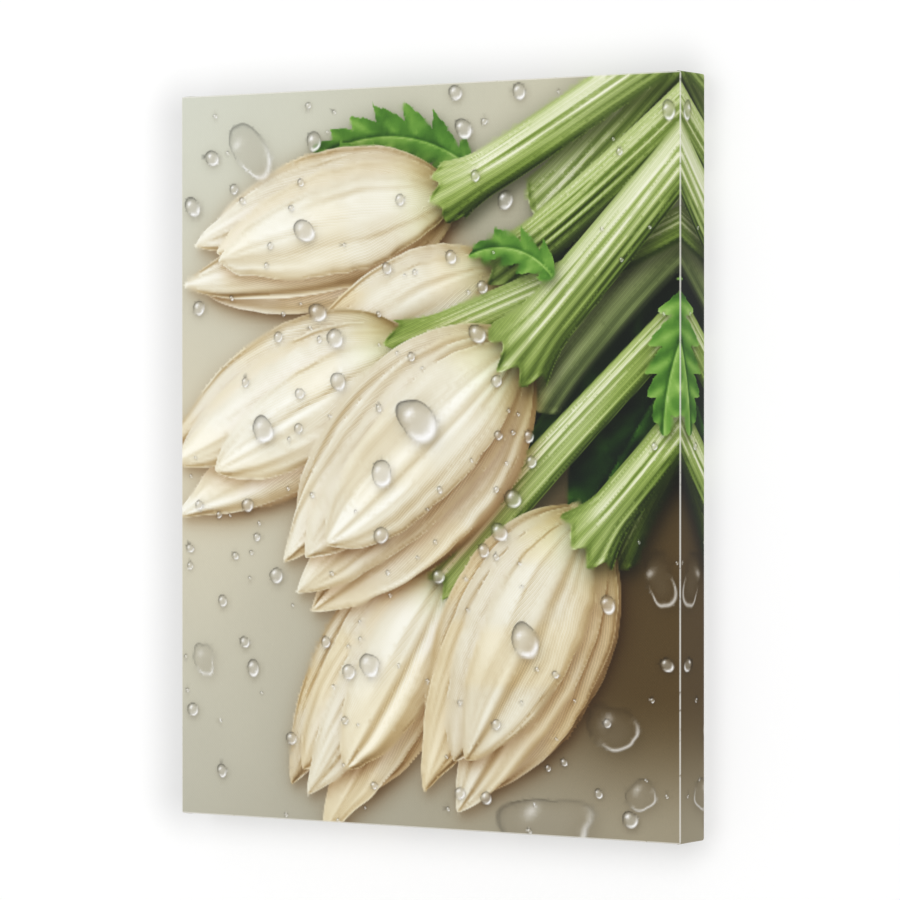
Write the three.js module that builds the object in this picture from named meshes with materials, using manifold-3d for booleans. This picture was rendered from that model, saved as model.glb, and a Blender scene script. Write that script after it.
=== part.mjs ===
// A stretched canvas print, ready to hang: one sheet of primed canvas wrapped round a frame of four
// mitred stretcher bars, stapled behind, tightened by eight corner keys, with a sawtooth hanger.
// Millimetres. +Z is up, -Y is the printed front and +Y is the wall.
// The origin is the point of the wall nail: on the wall plane, in the hanger's middle notch.
import * as THREE from "three";
import { mergeVertices } from "three/addons/utils/BufferGeometryUtils.js";
import Module from "manifold-3d";

const wasm = await Module();
wasm.setup();

// ---- Driving dimensions ----------------------------------------------------------------------
const WIDTH = 400; // the canvas face, edge to edge
const HEIGHT = 500;
const DEPTH = 32; // front face to the back of the folded edge
const CLOTH = 0.6; // canvas with its primer and ink
const GAP = 0.3; // between pieces that touch
const FLAP = 20; // canvas folded onto the back
const BAR_WIDTH = 38; // stretcher bar, outer edge to inner edge
const LIP_WIDTH = 5; // raised outer bead that the canvas bears on
const BEVEL_WIDTH = 3;
const LIP_HEIGHT = 3.5; // how far the rest of the bar stays off the canvas
const TONGUE_THICK = 8; // the joint inside each mitre
const TONGUE_COVER = 6; // wood left over the tongue at the outer faces
const TONGUE_REACH = 33;
const KEY_THICK = 3.2; // tapered wooden keys in the corners
const KEY_LENGTH = 30;
const KEY_INSET = 14; // length of the key that is driven into its bar
const KEY_TIP = 6;
const KEY_HEEL = 12;
const KEY_OFF_MIDDLE = 4; // the two keys of a corner pass each other by this offset in depth
const SLIT_ROOM = 0.3;
const WALL_OFF = 2.5; // the canvas's back to the wall
const STAPLE_CROWN = 10.6;
const STAPLE_WIRE = 0.7;
const STAPLE_BREADTH = 1.2;
const STAPLE_LEG = 9;
const STAPLE_PITCH = 60; // along the top and bottom bars
const STAPLE_PITCH_SIDE = 70; // along the left and right bars
const STAPLES_PER_BAR = 6;
const STAPLE_INSET = 12; // from the outer edge
const CORNER_STAPLE_INSET = 13;
const HANGER_LENGTH = 46;
const HANGER_HEIGHT = 9;
const HANGER_SHEET = 1;
const HANGER_LIFT = 1.2; // the toothed middle stands off the wood
const HANGER_FLAT = 9; // each nailed end
const HANGER_RAMP = 2;
const HANGER_INSET = 24; // from the bars' outer edge to the hanger's top
const TOOTH_PITCH = 4;
const TOOTH_DEPTH = 3;
const TEETH = 5;
const NOTCH_SHARE = 0.9; // of the pitch, so that each tooth keeps a flat end
const NAIL_RADIUS = 0.8;
const NAIL_HEAD_RADIUS = 2.1;
const NAIL_HEAD = 0.8;
const NAIL_LENGTH = 12;
const NAIL_POINT = 2;
const NAIL_DOME = [[0, 1], [0.6, 0.85], [1, 0.25]]; // shares of the head's radius and height
const BUMPER_RADIUS = 5;
const BUMPER_EDGE = [[0, 1.2], [0.5, 0.4], [1.5, 0]]; // in from the rim, back from the wall
const BUMPER_ALONG = 130; // from the middle of the bottom bar
const BUMPER_INSET = 29; // from the bottom bar's outer edge
const ROUND_SIDES = 24;
const OVERCUT = 1; // how far a cutter runs past the face that it opens

// ---- Places worked out from them ---------------------------------------------------------------
const backY = -WALL_OFF; // outer face of the folded canvas
const frontY = backY - DEPTH;
const barBackY = backY - CLOTH - GAP;
const barFrontY = frontY + CLOTH + GAP;
const barMiddleY = (barBackY + barFrontY) / 2;
const barEdge = CLOTH + GAP; // canvas edge to bar edge
const barHalfW = WIDTH / 2 - barEdge;
const barHalfH = HEIGHT / 2 - barEdge;
const topZ = barEdge + HANGER_INSET + HANGER_HEIGHT - TOOTH_DEPTH; // canvas top above the notch
const middleZ = topZ - HEIGHT / 2;

// ---- Solids --------------------------------------------------------------------------------------
const toSolid = (geometry) => {
  const bare = geometry.clone();
  bare.deleteAttribute("normal");
  bare.deleteAttribute("uv");
  const merged = mergeVertices(bare, 1e-4);
  return new wasm.Manifold(
    new wasm.Mesh({
      numProp: 3,
      vertProperties: merged.attributes.position.array,
      triVerts: new Uint32Array(merged.index.array),
    }),
  );
};

const toGeometry = (solid) => {
  const mesh = solid.getMesh();
  const geometry = new THREE.BufferGeometry();
  geometry.setAttribute("position", new THREE.BufferAttribute(mesh.vertProperties, 3));
  geometry.setIndex(new THREE.BufferAttribute(mesh.triVerts, 1));
  geometry.computeVertexNormals();
  return geometry;
};

const block = (low, high) => {
  const size = high.map((value, i) => value - low[i]);
  const centre = high.map((value, i) => (value + low[i]) / 2);
  return new THREE.BoxGeometry(...size).translate(...centre);
};

// An outline in the X-Z plane, extruded along +Y from fromY to toY.
const plate = (points, fromY, toY) => {
  const shape = new THREE.Shape(points.map(([x, z]) => new THREE.Vector2(x, z)));
  return new THREE.ExtrudeGeometry(shape, { depth: toY - fromY, bevelEnabled: false })
    .rotateX(Math.PI / 2)
    .translate(0, toY, 0);
};

// A straight bar along +X with its section in (inward distance, Y), centred on X = 0.
const sectionAlongX = (section, length) => {
  const shape = new THREE.Shape(section.map(([inward, y]) => new THREE.Vector2(inward, y)));
  const geometry = new THREE.ExtrudeGeometry(shape, { depth: length, bevelEnabled: false });
  const turn = new THREE.Matrix4().makeBasis(
    new THREE.Vector3(0, 0, -1),
    new THREE.Vector3(0, 1, 0),
    new THREE.Vector3(1, 0, 0),
  );
  return geometry.applyMatrix4(turn).translate(-length / 2, 0, 0);
};

const wood = (name) =>
  new THREE.MeshStandardMaterial({ name, color: 0xe2c695, roughness: 0.65, metalness: 0 });
const materials = {
  canvas: new THREE.MeshStandardMaterial({ name: "canvas", color: 0xcfc9b6, roughness: 0.7 }),
  pine: wood("pine"),
  beech: wood("beech"),
  steel: new THREE.MeshStandardMaterial({ color: 0xb9bcc0, roughness: 0.35, metalness: 1 }),
  brass: new THREE.MeshStandardMaterial({ color: 0xc9a65a, roughness: 0.35, metalness: 1 }),
  rubber: new THREE.MeshStandardMaterial({ color: 0x2b2b2d, roughness: 0.8, metalness: 0 }),
};

// ---- Staples: where they go ---------------------------------------------------------------------
// Each place is the middle of the crown and its turn in the plane of the back.
const staplePlaces = () => {
  const places = [];
  const edgeX = WIDTH / 2 - STAPLE_INSET;
  const edgeZ = HEIGHT / 2 - STAPLE_INSET;
  for (let i = 0; i < STAPLES_PER_BAR; i += 1) {
    const step = i - (STAPLES_PER_BAR - 1) / 2;
    const number = i + 1;
    places.push({ name: `staple_top_${number}`, x: step * STAPLE_PITCH, z: edgeZ, turn: 0 });
    places.push({ name: `staple_bottom_${number}`, x: step * STAPLE_PITCH, z: -edgeZ, turn: 0 });
    const z = step * STAPLE_PITCH_SIDE;
    places.push({ name: `staple_left_${number}`, x: -edgeX, z, turn: Math.PI / 2 });
    places.push({ name: `staple_right_${number}`, x: edgeX, z, turn: Math.PI / 2 });
  }
  for (const [side, sx] of [["left", -1], ["right", 1]])
    for (const [end, sz] of [["top", 1], ["bottom", -1]])
      places.push({
        name: `staple_corner_${end}_${side}`,
        x: sx * (WIDTH / 2 - CORNER_STAPLE_INSET),
        z: sz * (HEIGHT / 2 - CORNER_STAPLE_INSET),
        turn: (sx * sz * Math.PI) / 4,
      });
  return places;
};

// The crown and two legs as one bent wire, crown outermost, at the origin of its own frame.
const stapleGeometry = () => {
  const half = STAPLE_CROWN / 2;
  const inner = half - STAPLE_WIRE;
  const crownBack = STAPLE_WIRE;
  const outline = [
    [-half, crownBack],
    [-half, -STAPLE_LEG],
    [-inner, -STAPLE_LEG],
    [-inner, 0],
    [inner, 0],
    [inner, -STAPLE_LEG],
    [half, -STAPLE_LEG],
    [half, crownBack],
  ];
  const shape = new THREE.Shape(outline.map(([x, y]) => new THREE.Vector2(x, y)));
  return new THREE.ExtrudeGeometry(shape, { depth: STAPLE_BREADTH, bevelEnabled: false }).translate(
    0,
    0,
    -STAPLE_BREADTH / 2,
  );
};

// The two holes that the legs of one staple need in the canvas and the wood.
const legHoles = (place) => {
  const legX = (STAPLE_CROWN - STAPLE_WIRE) / 2;
  const halfX = STAPLE_WIRE / 2 + GAP;
  const halfZ = STAPLE_BREADTH / 2 + GAP;
  return [-legX, legX].map((x) =>
    toSolid(
      block(
        [x - halfX, backY - STAPLE_LEG - GAP, -halfZ],
        [x + halfX, backY + GAP * 2, halfZ],
      )
        .rotateY(place.turn)
        .translate(place.x, 0, middleZ + place.z),
    ),
  );
};

const cutAll = (solid, cutters) => cutters.reduce((left, cutter) => left.subtract(cutter), solid);

// ---- Canvas ----------------------------------------------------------------------------------------
// A shallow tray: printed face, four turned-back edges and the flap on the back, open in the middle.
const canvasSolid = (holes) => {
  const halfW = WIDTH / 2;
  const halfH = HEIGHT / 2;
  const box = (inset, fromY, toY) =>
    toSolid(
      block(
        [-halfW + inset, fromY, middleZ - halfH + inset],
        [halfW - inset, toY, middleZ + halfH - inset],
      ),
    );
  const tray = box(0, frontY, backY)
    .subtract(box(CLOTH, frontY + CLOTH, backY - CLOTH))
    .subtract(box(FLAP, backY - CLOTH * 2, backY + OVERCUT));
  return cutAll(tray, holes);
};

// ---- Stretcher bars ---------------------------------------------------------------------------------
const barSection = [
  [0, barFrontY],
  [LIP_WIDTH, barFrontY],
  [LIP_WIDTH + BEVEL_WIDTH, barFrontY + LIP_HEIGHT],
  [BAR_WIDTH, barFrontY + LIP_HEIGHT],
  [BAR_WIDTH, barBackY],
  [0, barBackY],
];

// The part of a corner joint that fills (or, grown by extra, cuts) the top bar's side of the mitre.
// Corner coordinates: u from the side bar's outer face, v down from the top bar's outer face.
const tongue = (halfLength, outerZ, side, extra) => {
  const toPlane = ([u, v]) => [side * (halfLength - u), outerZ - v];
  const start = TONGUE_COVER - extra;
  const reach = TONGUE_REACH + extra;
  const outline = [[start, start], [reach, start], [reach, BAR_WIDTH], [start, BAR_WIDTH]];
  const half = TONGUE_THICK / 2 + extra;
  const ordered = side < 0 ? outline : [...outline].reverse();
  return toSolid(plate(ordered.map(toPlane), barMiddleY - half, barMiddleY + half));
};

// A bar that lies along X on the top side, before it is turned into place.
const plainBar = (halfLength, outerZ) => {
  const inner = halfLength - BAR_WIDTH - OVERCUT;
  const slack = GAP / Math.SQRT2;
  const mitre = plate(
    [
      [-halfLength + slack, outerZ],
      [-inner + slack, outerZ - BAR_WIDTH - OVERCUT],
      [inner - slack, outerZ - BAR_WIDTH - OVERCUT],
      [halfLength - slack, outerZ],
    ],
    frontY,
    0,
  );
  const bar = sectionAlongX(barSection, halfLength * 2).translate(0, 0, outerZ);
  return toSolid(bar).intersect(toSolid(mitre));
};

// The slit in a bar's inner edge that one key is driven into.
const keySlit = (halfLength, outerZ, side, keyY) => {
  const near = BAR_WIDTH;
  const far = BAR_WIDTH + GAP + KEY_TIP + (KEY_HEEL - KEY_TIP) * (KEY_INSET / KEY_LENGTH) + SLIT_ROOM;
  const half = KEY_THICK / 2 + SLIT_ROOM;
  const x0 = side * (halfLength - near);
  const x1 = side * (halfLength - far);
  const top = outerZ - BAR_WIDTH + KEY_INSET + SLIT_ROOM;
  return toSolid(
    block(
      [Math.min(x0, x1), keyY - half, outerZ - BAR_WIDTH - OVERCUT],
      [Math.max(x0, x1), keyY + half, top],
    ),
  );
};

const horizontalBar = () => {
  const cuts = [-1, 1].flatMap((side) => [
    tongue(barHalfW, barHalfH, side, GAP),
    keySlit(barHalfW, barHalfH, side, barMiddleY + KEY_OFF_MIDDLE),
  ]);
  return cutAll(plainBar(barHalfW, barHalfH), cuts);
};

// The side bars are made along X too, and turned upright afterwards. Their tongues reach past the mitre.
const verticalBar = () => {
  const slits = [-1, 1].map((side) =>
    keySlit(barHalfH, barHalfW, side, barMiddleY - KEY_OFF_MIDDLE),
  );
  const tongues = [-1, 1].map((side) => {
    const toPlane = ([u, v]) => [side * (barHalfH - v), barHalfW - u];
    const outline = [
      [TONGUE_COVER, TONGUE_COVER],
      [TONGUE_REACH, TONGUE_COVER],
      [TONGUE_REACH, BAR_WIDTH + OVERCUT * 2],
      [TONGUE_COVER, BAR_WIDTH + OVERCUT * 2],
    ];
    const ordered = side < 0 ? [...outline].reverse() : outline;
    const half = TONGUE_THICK / 2;
    return toSolid(plate(ordered.map(toPlane), barMiddleY - half, barMiddleY + half));
  });
  const joined = tongues.reduce((bar, part) => bar.add(part), plainBar(barHalfH, barHalfW));
  return cutAll(joined, slits);
};

// ---- Corner keys --------------------------------------------------------------------------------------
// A tapered plate, tip driven up into a bar, straight edge along the neighbouring bar.
const keyGeometry = (halfLength, outerZ, side, keyY) => {
  const edge = halfLength - BAR_WIDTH - GAP;
  const tipZ = outerZ - BAR_WIDTH + KEY_INSET;
  const outline = [
    [side * edge, tipZ],
    [side * edge, tipZ - KEY_LENGTH],
    [side * (edge - KEY_HEEL), tipZ - KEY_LENGTH],
    [side * (edge - KEY_TIP), tipZ],
  ];
  const ordered = side < 0 ? outline : [...outline].reverse();
  return plate(ordered, keyY - KEY_THICK / 2, keyY + KEY_THICK / 2);
};

// ---- Hanger, nails and bumpers ---------------------------------------------------------------------------
const hangerY = barBackY + GAP; // the nailed ends' face on the wood
const hangerTopZ = topZ - barEdge - HANGER_INSET;
const nailX = (HANGER_LENGTH - HANGER_FLAT) / 2;

const cylinderAlongY = (radius, fromY, toY, x, z) =>
  new THREE.CylinderGeometry(radius, radius, toY - fromY, ROUND_SIDES).translate(
    x,
    (fromY + toY) / 2,
    z,
  );

const hangerSolid = () => {
  const half = HANGER_LENGTH / 2;
  const flat = half - HANGER_FLAT;
  const raised = flat - HANGER_RAMP;
  const low = hangerY;
  const high = hangerY + HANGER_LIFT;
  const under = [[-half, low], [-flat, low], [-raised, high], [raised, high], [flat, low], [half, low]];
  const over = [...under].reverse().map(([x, y]) => [x, y + HANGER_SHEET]);
  const shape = new THREE.Shape([...under, ...over].map(([x, y]) => new THREE.Vector2(x, y)));
  const strip = new THREE.ExtrudeGeometry(shape, { depth: HANGER_HEIGHT, bevelEnabled: false });
  strip.translate(0, 0, hangerTopZ - HANGER_HEIGHT);
  const lowerZ = hangerTopZ - HANGER_HEIGHT;
  const notchHalf = (TOOTH_PITCH * NOTCH_SHARE) / 2;
  const notches = Array.from({ length: TEETH }, (_, i) => {
    const x = (i - (TEETH - 1) / 2) * TOOTH_PITCH;
    const outline = [
      [x - notchHalf, lowerZ - OVERCUT],
      [x + notchHalf, lowerZ - OVERCUT],
      [x, lowerZ + TOOTH_DEPTH],
    ];
    return toSolid(plate(outline, low, high + HANGER_SHEET + OVERCUT));
  });
  const holes = [-nailX, nailX].map((x) =>
    toSolid(
      cylinderAlongY(NAIL_RADIUS + GAP, low - OVERCUT, high + OVERCUT, x, hangerTopZ - HANGER_HEIGHT / 2),
    ),
  );
  return cutAll(toSolid(strip), [...notches, ...holes]);
};

// A turned profile on the Y axis: domed head, then the shank with a pointed end.
const nailGeometry = (x) => {
  const headY = hangerY + HANGER_SHEET + GAP;
  const profile = [
    ...NAIL_DOME.map(([out, up]) => [NAIL_HEAD_RADIUS * out, headY + NAIL_HEAD * up]),
    [NAIL_HEAD_RADIUS, headY],
    [NAIL_RADIUS, headY],
    [NAIL_RADIUS, headY - NAIL_LENGTH + NAIL_POINT],
    [0, headY - NAIL_LENGTH],
  ].reverse();
  return new THREE.LatheGeometry(
    profile.map(([r, y]) => new THREE.Vector2(r, y)),
    ROUND_SIDES,
  ).translate(x, 0, hangerTopZ - HANGER_HEIGHT / 2);
};

const nailHole = (x) =>
  toSolid(
    cylinderAlongY(
      NAIL_RADIUS + GAP,
      hangerY - NAIL_LENGTH,
      barBackY + OVERCUT,
      x,
      hangerTopZ - HANGER_HEIGHT / 2,
    ),
  );

const bumperGeometry = (x) => {
  const low = barBackY + GAP;
  const profile = [
    [0, low],
    [BUMPER_RADIUS, low],
    ...BUMPER_EDGE.map(([inward, back]) => [BUMPER_RADIUS - inward, -back]),
    [0, 0],
  ];
  return new THREE.LatheGeometry(
    profile.map(([r, y]) => new THREE.Vector2(r, y)),
    ROUND_SIDES,
  ).translate(x, 0, topZ - HEIGHT + barEdge + BUMPER_INSET);
};

// ---- The assembly -------------------------------------------------------------------------------------------
const print = new THREE.Group();
const addPiece = (name, geometry, material) => {
  const mesh = new THREE.Mesh(geometry, material);
  mesh.name = name;
  print.add(mesh);
  return mesh;
};

const places = staplePlaces();
const holes = places.flatMap(legHoles);
addPiece("canvas", toGeometry(canvasSolid(holes)), materials.canvas);

// Turns a solid that was made on the top side to another side of the frame, then cuts its leg holes.
const turned = (solid, degrees) => solid.rotate([0, degrees, 0]).translate([0, 0, middleZ]);
const bars = [
  ["stretcher_bar_top", horizontalBar(), 0],
  ["stretcher_bar_bottom", horizontalBar(), 180],
  ["stretcher_bar_left", verticalBar(), -90],
  ["stretcher_bar_right", verticalBar(), 90],
];
for (const [name, solid, degrees] of bars) {
  const nails = name === "stretcher_bar_top" ? [-nailX, nailX].map(nailHole) : [];
  addPiece(name, toGeometry(cutAll(turned(solid, degrees), [...holes, ...nails])), materials.pine);
}

const keySets = [
  ["top", barHalfW, barHalfH, 0, KEY_OFF_MIDDLE],
  ["bottom", barHalfW, barHalfH, 180, KEY_OFF_MIDDLE],
  ["left", barHalfH, barHalfW, -90, -KEY_OFF_MIDDLE],
  ["right", barHalfH, barHalfW, 90, -KEY_OFF_MIDDLE],
];
for (const [bar, halfLength, outerZ, degrees, offset] of keySets)
  [-1, 1].forEach((side, i) => {
    const geometry = keyGeometry(halfLength, outerZ, side, barMiddleY + offset);
    const key = addPiece(`corner_key_${bar}_${i + 1}`, geometry, materials.beech);
    key.rotation.y = THREE.MathUtils.degToRad(degrees);
    key.position.z = middleZ;
  });

for (const place of places) {
  const staple = addPiece(place.name, stapleGeometry(), materials.steel);
  staple.rotation.y = place.turn;
  staple.position.set(place.x, backY + GAP, middleZ + place.z);
}

addPiece("hanger_plate", toGeometry(hangerSolid()), materials.steel);
addPiece("hanger_nail_left", nailGeometry(-nailX), materials.brass);
addPiece("hanger_nail_right", nailGeometry(nailX), materials.brass);
addPiece("wall_bumper_left", bumperGeometry(-BUMPER_ALONG), materials.rubber);
addPiece("wall_bumper_right", bumperGeometry(BUMPER_ALONG), materials.rubber);

export default print;
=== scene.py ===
# %% [markdown]
# # A stretched canvas print
# A still life of endives is printed on primed canvas, which is wrapped round a wooden frame and
# stapled behind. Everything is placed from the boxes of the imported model, in metres: +Z is up, the
# print looks along -Y and the wall is the plane y = 0. The picture itself is painted in this script,
# by plain arithmetic on arrays, so the file carries no image.

# %% Load the frame
import math

import bmesh
import bpy
import numpy as np
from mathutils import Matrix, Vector
from mathutils.geometry import delaunay_2d_cdt


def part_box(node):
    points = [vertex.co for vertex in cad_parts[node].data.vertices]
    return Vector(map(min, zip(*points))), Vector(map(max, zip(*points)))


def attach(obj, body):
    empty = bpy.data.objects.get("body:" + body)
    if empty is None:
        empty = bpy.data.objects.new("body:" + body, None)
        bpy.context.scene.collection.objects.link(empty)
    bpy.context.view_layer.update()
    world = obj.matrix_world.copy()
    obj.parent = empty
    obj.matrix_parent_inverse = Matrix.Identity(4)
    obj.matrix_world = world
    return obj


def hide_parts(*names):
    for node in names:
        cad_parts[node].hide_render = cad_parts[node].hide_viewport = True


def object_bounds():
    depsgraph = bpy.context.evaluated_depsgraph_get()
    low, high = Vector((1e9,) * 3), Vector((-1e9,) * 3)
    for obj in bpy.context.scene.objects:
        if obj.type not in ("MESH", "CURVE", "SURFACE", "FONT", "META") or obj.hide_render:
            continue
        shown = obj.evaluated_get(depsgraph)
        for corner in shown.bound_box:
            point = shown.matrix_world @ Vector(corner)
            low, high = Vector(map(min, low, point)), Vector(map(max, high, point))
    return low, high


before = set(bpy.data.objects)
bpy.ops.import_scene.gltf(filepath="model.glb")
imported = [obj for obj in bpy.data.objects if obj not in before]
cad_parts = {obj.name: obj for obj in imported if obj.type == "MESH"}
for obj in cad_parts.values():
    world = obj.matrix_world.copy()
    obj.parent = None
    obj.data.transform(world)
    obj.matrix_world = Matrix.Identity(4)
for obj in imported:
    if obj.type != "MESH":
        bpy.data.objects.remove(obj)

cad_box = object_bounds()
MM = 0.001
canvas_low, canvas_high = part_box("canvas")
WIDTH = (canvas_high[0] - canvas_low[0]) / MM
HEIGHT = (canvas_high[2] - canvas_low[2]) / MM
DEPTH = (canvas_high[1] - canvas_low[1]) / MM
print(f"canvas {WIDTH:.0f} x {HEIGHT:.0f} x {DEPTH:.0f} mm")

# %% [markdown]
# ## Small tools
# Colours are picked as the eye sees them, as sRGB hex values. Shaders work in linear light, so one
# function turns them over. A second one adds a node to a tree, sets its properties and sockets, and
# makes its links, which keeps every material below down to a short list.

# %% Colours and nodes
def screen_colour(code):
    return np.array([int(code[i:i + 2], 16) / 255 for i in (0, 2, 4)])


def to_linear(colour):
    colour = np.asarray(colour, dtype=float)
    return np.where(colour <= 0.04045, colour / 12.92, ((colour + 0.055) / 1.055) ** 2.4)


def ink(code):
    return (*to_linear(screen_colour(code)), 1.0)


def add_node(tree, kind, settings=None, values=None, links=None):
    node = tree.nodes.new(kind)
    for name, value in (settings or {}).items():
        setattr(node, name, value)
    for socket, value in (values or {}).items():
        node.inputs[socket].default_value = value
    for socket, source in (links or {}).items():
        tree.links.new(source, node.inputs[socket])
    return node


def set_ramp(node, stops):
    """Gives a colour ramp its stops, as (place, hex colour) pairs."""
    ramp = node.color_ramp
    while len(ramp.elements) < len(stops):
        ramp.elements.new(0.5)
    for element, (place, code) in zip(ramp.elements, stops):
        element.position = place
        element.color = ink(code)
    return node


def new_material(name):
    material = bpy.data.materials.new(name)
    material.use_nodes = True
    tree = material.node_tree
    shader = tree.nodes["Principled BSDF"]
    return material, tree, shader


# %% [markdown]
# ## Painting with arrays
# The picture is a grid of colour samples half a millimetre apart. Each piece in it, a petal, a stalk,
# a frond or a drop, is laid over what is there, back to front, as a painter works. A piece has a
# height of its own, in millimetres, so that light from the upper left can model its form. These are
# the brushes: smooth noise, a soft blur, a colour ramp and the light.

# %% The grid of samples
STEP = 0.5  # millimetres between samples
COLUMNS = round(WIDTH / STEP)
ROWS = round(HEIGHT / STEP)
across, down = np.meshgrid(
    (np.arange(COLUMNS) + 0.5) * STEP,
    (np.arange(ROWS) + 0.5) * STEP,
)
across = across.astype(np.float32)
down = down.astype(np.float32)
picture = np.zeros((ROWS, COLUMNS, 3), dtype=np.float32)
fine_lines = np.zeros((ROWS, COLUMNS, 2), dtype=np.float32)  # lines counted so far, and their strength
print(f"picture of {COLUMNS} x {ROWS} samples")

# %% Smooth noise
LATTICE = np.random.default_rng(11).random((256, 256)).astype(np.float32)


def ease(low, high, value):
    """A soft step from 0 at low to 1 at high. It falls where low is above high."""
    t = np.clip((value - low) / (high - low), 0, 1)
    return t * t * (3 - 2 * t)


def noise(x, y, seed=0):
    """Smooth random values, 0 to 1, with one cell for each unit of x and y."""
    x = x + seed * 37.17
    y = y + seed * 11.31
    cell_x = np.floor(x).astype(int)
    cell_y = np.floor(y).astype(int)
    fx = ease(0, 1, x - cell_x)
    fy = ease(0, 1, y - cell_y)
    left, right = cell_x & 255, (cell_x + 1) & 255
    upper, lower = cell_y & 255, (cell_y + 1) & 255
    first = LATTICE[upper, left] * (1 - fx) + LATTICE[upper, right] * fx
    second = LATTICE[lower, left] * (1 - fx) + LATTICE[lower, right] * fx
    return first * (1 - fy) + second * fy


def clouds(x, y, seed=0, octaves=3):
    """Noise over finer noise, 0 to 1."""
    total = 0.0
    for octave in range(octaves):
        scale = 2 ** octave
        total = total + noise(x * scale, y * scale, seed + octave * 7) / scale
    return total / (2 - 2 ** (1 - octaves))


# %% Blur and colour ramp
def blur(field, radius):
    """Three running averages along each axis, which come close to a Gaussian."""
    reach = max(1, round(radius / STEP))
    for axis in (0, 1):
        count = field.shape[axis]
        for _ in range(3):
            margins = [(0, 0)] * field.ndim
            margins[axis] = (reach + 1, reach)
            sums = np.cumsum(np.pad(field, margins, mode="edge"), axis=axis, dtype=np.float64)
            ahead = np.take(sums, np.arange(2 * reach + 1, 2 * reach + 1 + count), axis=axis)
            behind = np.take(sums, np.arange(count), axis=axis)
            field = (ahead - behind) / (2 * reach + 1)
    return field


def tint(value, stops):
    """Turns a field of tones, 0 to 1, into colours along a list of (tone, hex colour) stops."""
    tones = [tone for tone, _ in stops]
    colours = np.array([screen_colour(code) for _, code in stops])
    value = np.clip(value, 0, 1)
    return np.stack([np.interp(value, tones, colours[:, k]) for k in range(3)], axis=-1)


# %% Light
LIGHT = np.array([-0.50, -0.56, 0.66])  # from the upper left, towards the viewer
HALF_WAY = LIGHT + np.array([0.0, 0.0, 1.0])
HALF_WAY /= np.linalg.norm(HALF_WAY)
print(f"light from {LIGHT}, gloss where the surface faces {HALF_WAY.round(2)}")


def light_on(height, softness):
    """How a height field catches the light: its soft tone and its gloss, both 0 to 1."""
    slope_down, slope_across = np.gradient(height, STEP)
    normal = np.stack([-slope_across, -slope_down, np.ones_like(height)], axis=-1)
    normal /= np.linalg.norm(normal, axis=-1, keepdims=True)
    tone = (normal @ LIGHT + softness) / (1 + softness)
    gloss = ease(0.95, 1.0, normal @ HALF_WAY)
    return np.clip(tone, 0, 1), gloss


# %% A patch of the picture
class Patch:
    """The part of the picture between two corners, in millimetres from its upper left."""

    def __init__(self, low, high):
        left, right = np.clip([low[0] / STEP, high[0] / STEP], 0, COLUMNS).astype(int)
        top, bottom = np.clip([low[1] / STEP, high[1] / STEP], 0, ROWS).astype(int)
        self.slices = (slice(top, bottom), slice(left, right))
        self.x = across[self.slices]
        self.y = down[self.slices]

    def cast_shadow(self, mask, reach, strength, code):
        """The soft shadow of a piece on what it lies on, falling to the lower right."""
        shift_x, shift_y = int(0.35 * reach / STEP), int(0.5 * reach / STEP)
        moved = np.zeros_like(mask)
        rows, columns = mask.shape
        moved[shift_y:, shift_x:] = mask[:rows - shift_y, :columns - shift_x]
        for radius, share in ((reach, 0.6), (reach * 0.3, 0.55)):
            cover = blur(moved, radius)[..., None] * strength * share
            picture[self.slices] *= 1 - cover * (1 - screen_colour(code))

    def lay(self, mask, colour, count=0.0, strength=0.0):
        """Lays a piece over the picture, with the count and strength of its fine lines."""
        cover = np.clip(mask, 0, 1)[..., None]
        picture[self.slices] = picture[self.slices] * (1 - cover) + np.clip(colour, 0, 1) * cover
        covered = mask > 0.5
        for layer, value in enumerate((count, strength)):
            fine_lines[self.slices][covered, layer] = np.broadcast_to(value, mask.shape)[covered]


# %% [markdown]
# ## Following a curve
# Petals, stalks and fronds all grow along a curve with four control points. For every sample near the
# curve, this finds how far along it lies, from 0 to 1, and how far to the side, in millimetres. A
# coarse search picks the nearest of a few points, and Newton's method then slides to the exact foot.

# %% Curve coordinates
CURVE_GUESSES = np.linspace(0, 1, 14)


def curve_at(points, t):
    """The curve's place at t, with its first and second derivatives."""
    p0, p1, p2, p3 = [np.array(point, dtype=float) for point in points]
    t = np.asarray(t)[..., None]
    u = 1 - t
    place = u**3 * p0 + 3 * u * u * t * p1 + 3 * u * t * t * p2 + t**3 * p3
    first = 3 * u * u * (p1 - p0) + 6 * u * t * (p2 - p1) + 3 * t * t * (p3 - p2)
    second = 6 * u * (p2 - 2 * p1 + p0) + 6 * t * (p3 - 2 * p2 + p1)
    return place, first, second


def follow(points, width):
    """A patch round a curve, with each sample's place along it and signed distance from it."""
    guesses, _, _ = curve_at(points, CURVE_GUESSES)
    margin = width * 0.62 + 10
    patch = Patch(guesses.min(axis=0) - margin, guesses.max(axis=0) + margin)
    nearest = np.full(patch.x.shape, 1e9)
    along = np.zeros(patch.x.shape)
    for t, (x, y) in zip(CURVE_GUESSES, guesses):
        gap = (patch.x - x) ** 2 + (patch.y - y) ** 2
        along = np.where(gap < nearest, t, along)
        nearest = np.minimum(gap, nearest)
    for _ in range(3):
        place, first, second = curve_at(points, along)
        gap_x, gap_y = place[..., 0] - patch.x, place[..., 1] - patch.y
        slope = gap_x * first[..., 0] + gap_y * first[..., 1]
        bend = (first**2).sum(axis=-1) + gap_x * second[..., 0] + gap_y * second[..., 1]
        along = np.clip(along - slope / np.maximum(bend, 1e-3), -0.06, 1.06)
    place, first, _ = curve_at(points, along)
    gap_x, gap_y = patch.x - place[..., 0], patch.y - place[..., 1]
    aside = (first[..., 0] * gap_y - first[..., 1] * gap_x) / np.linalg.norm(first, axis=-1)
    length = np.linalg.norm(np.diff(guesses, axis=0), axis=1).sum()
    return patch, along, aside, length


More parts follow.
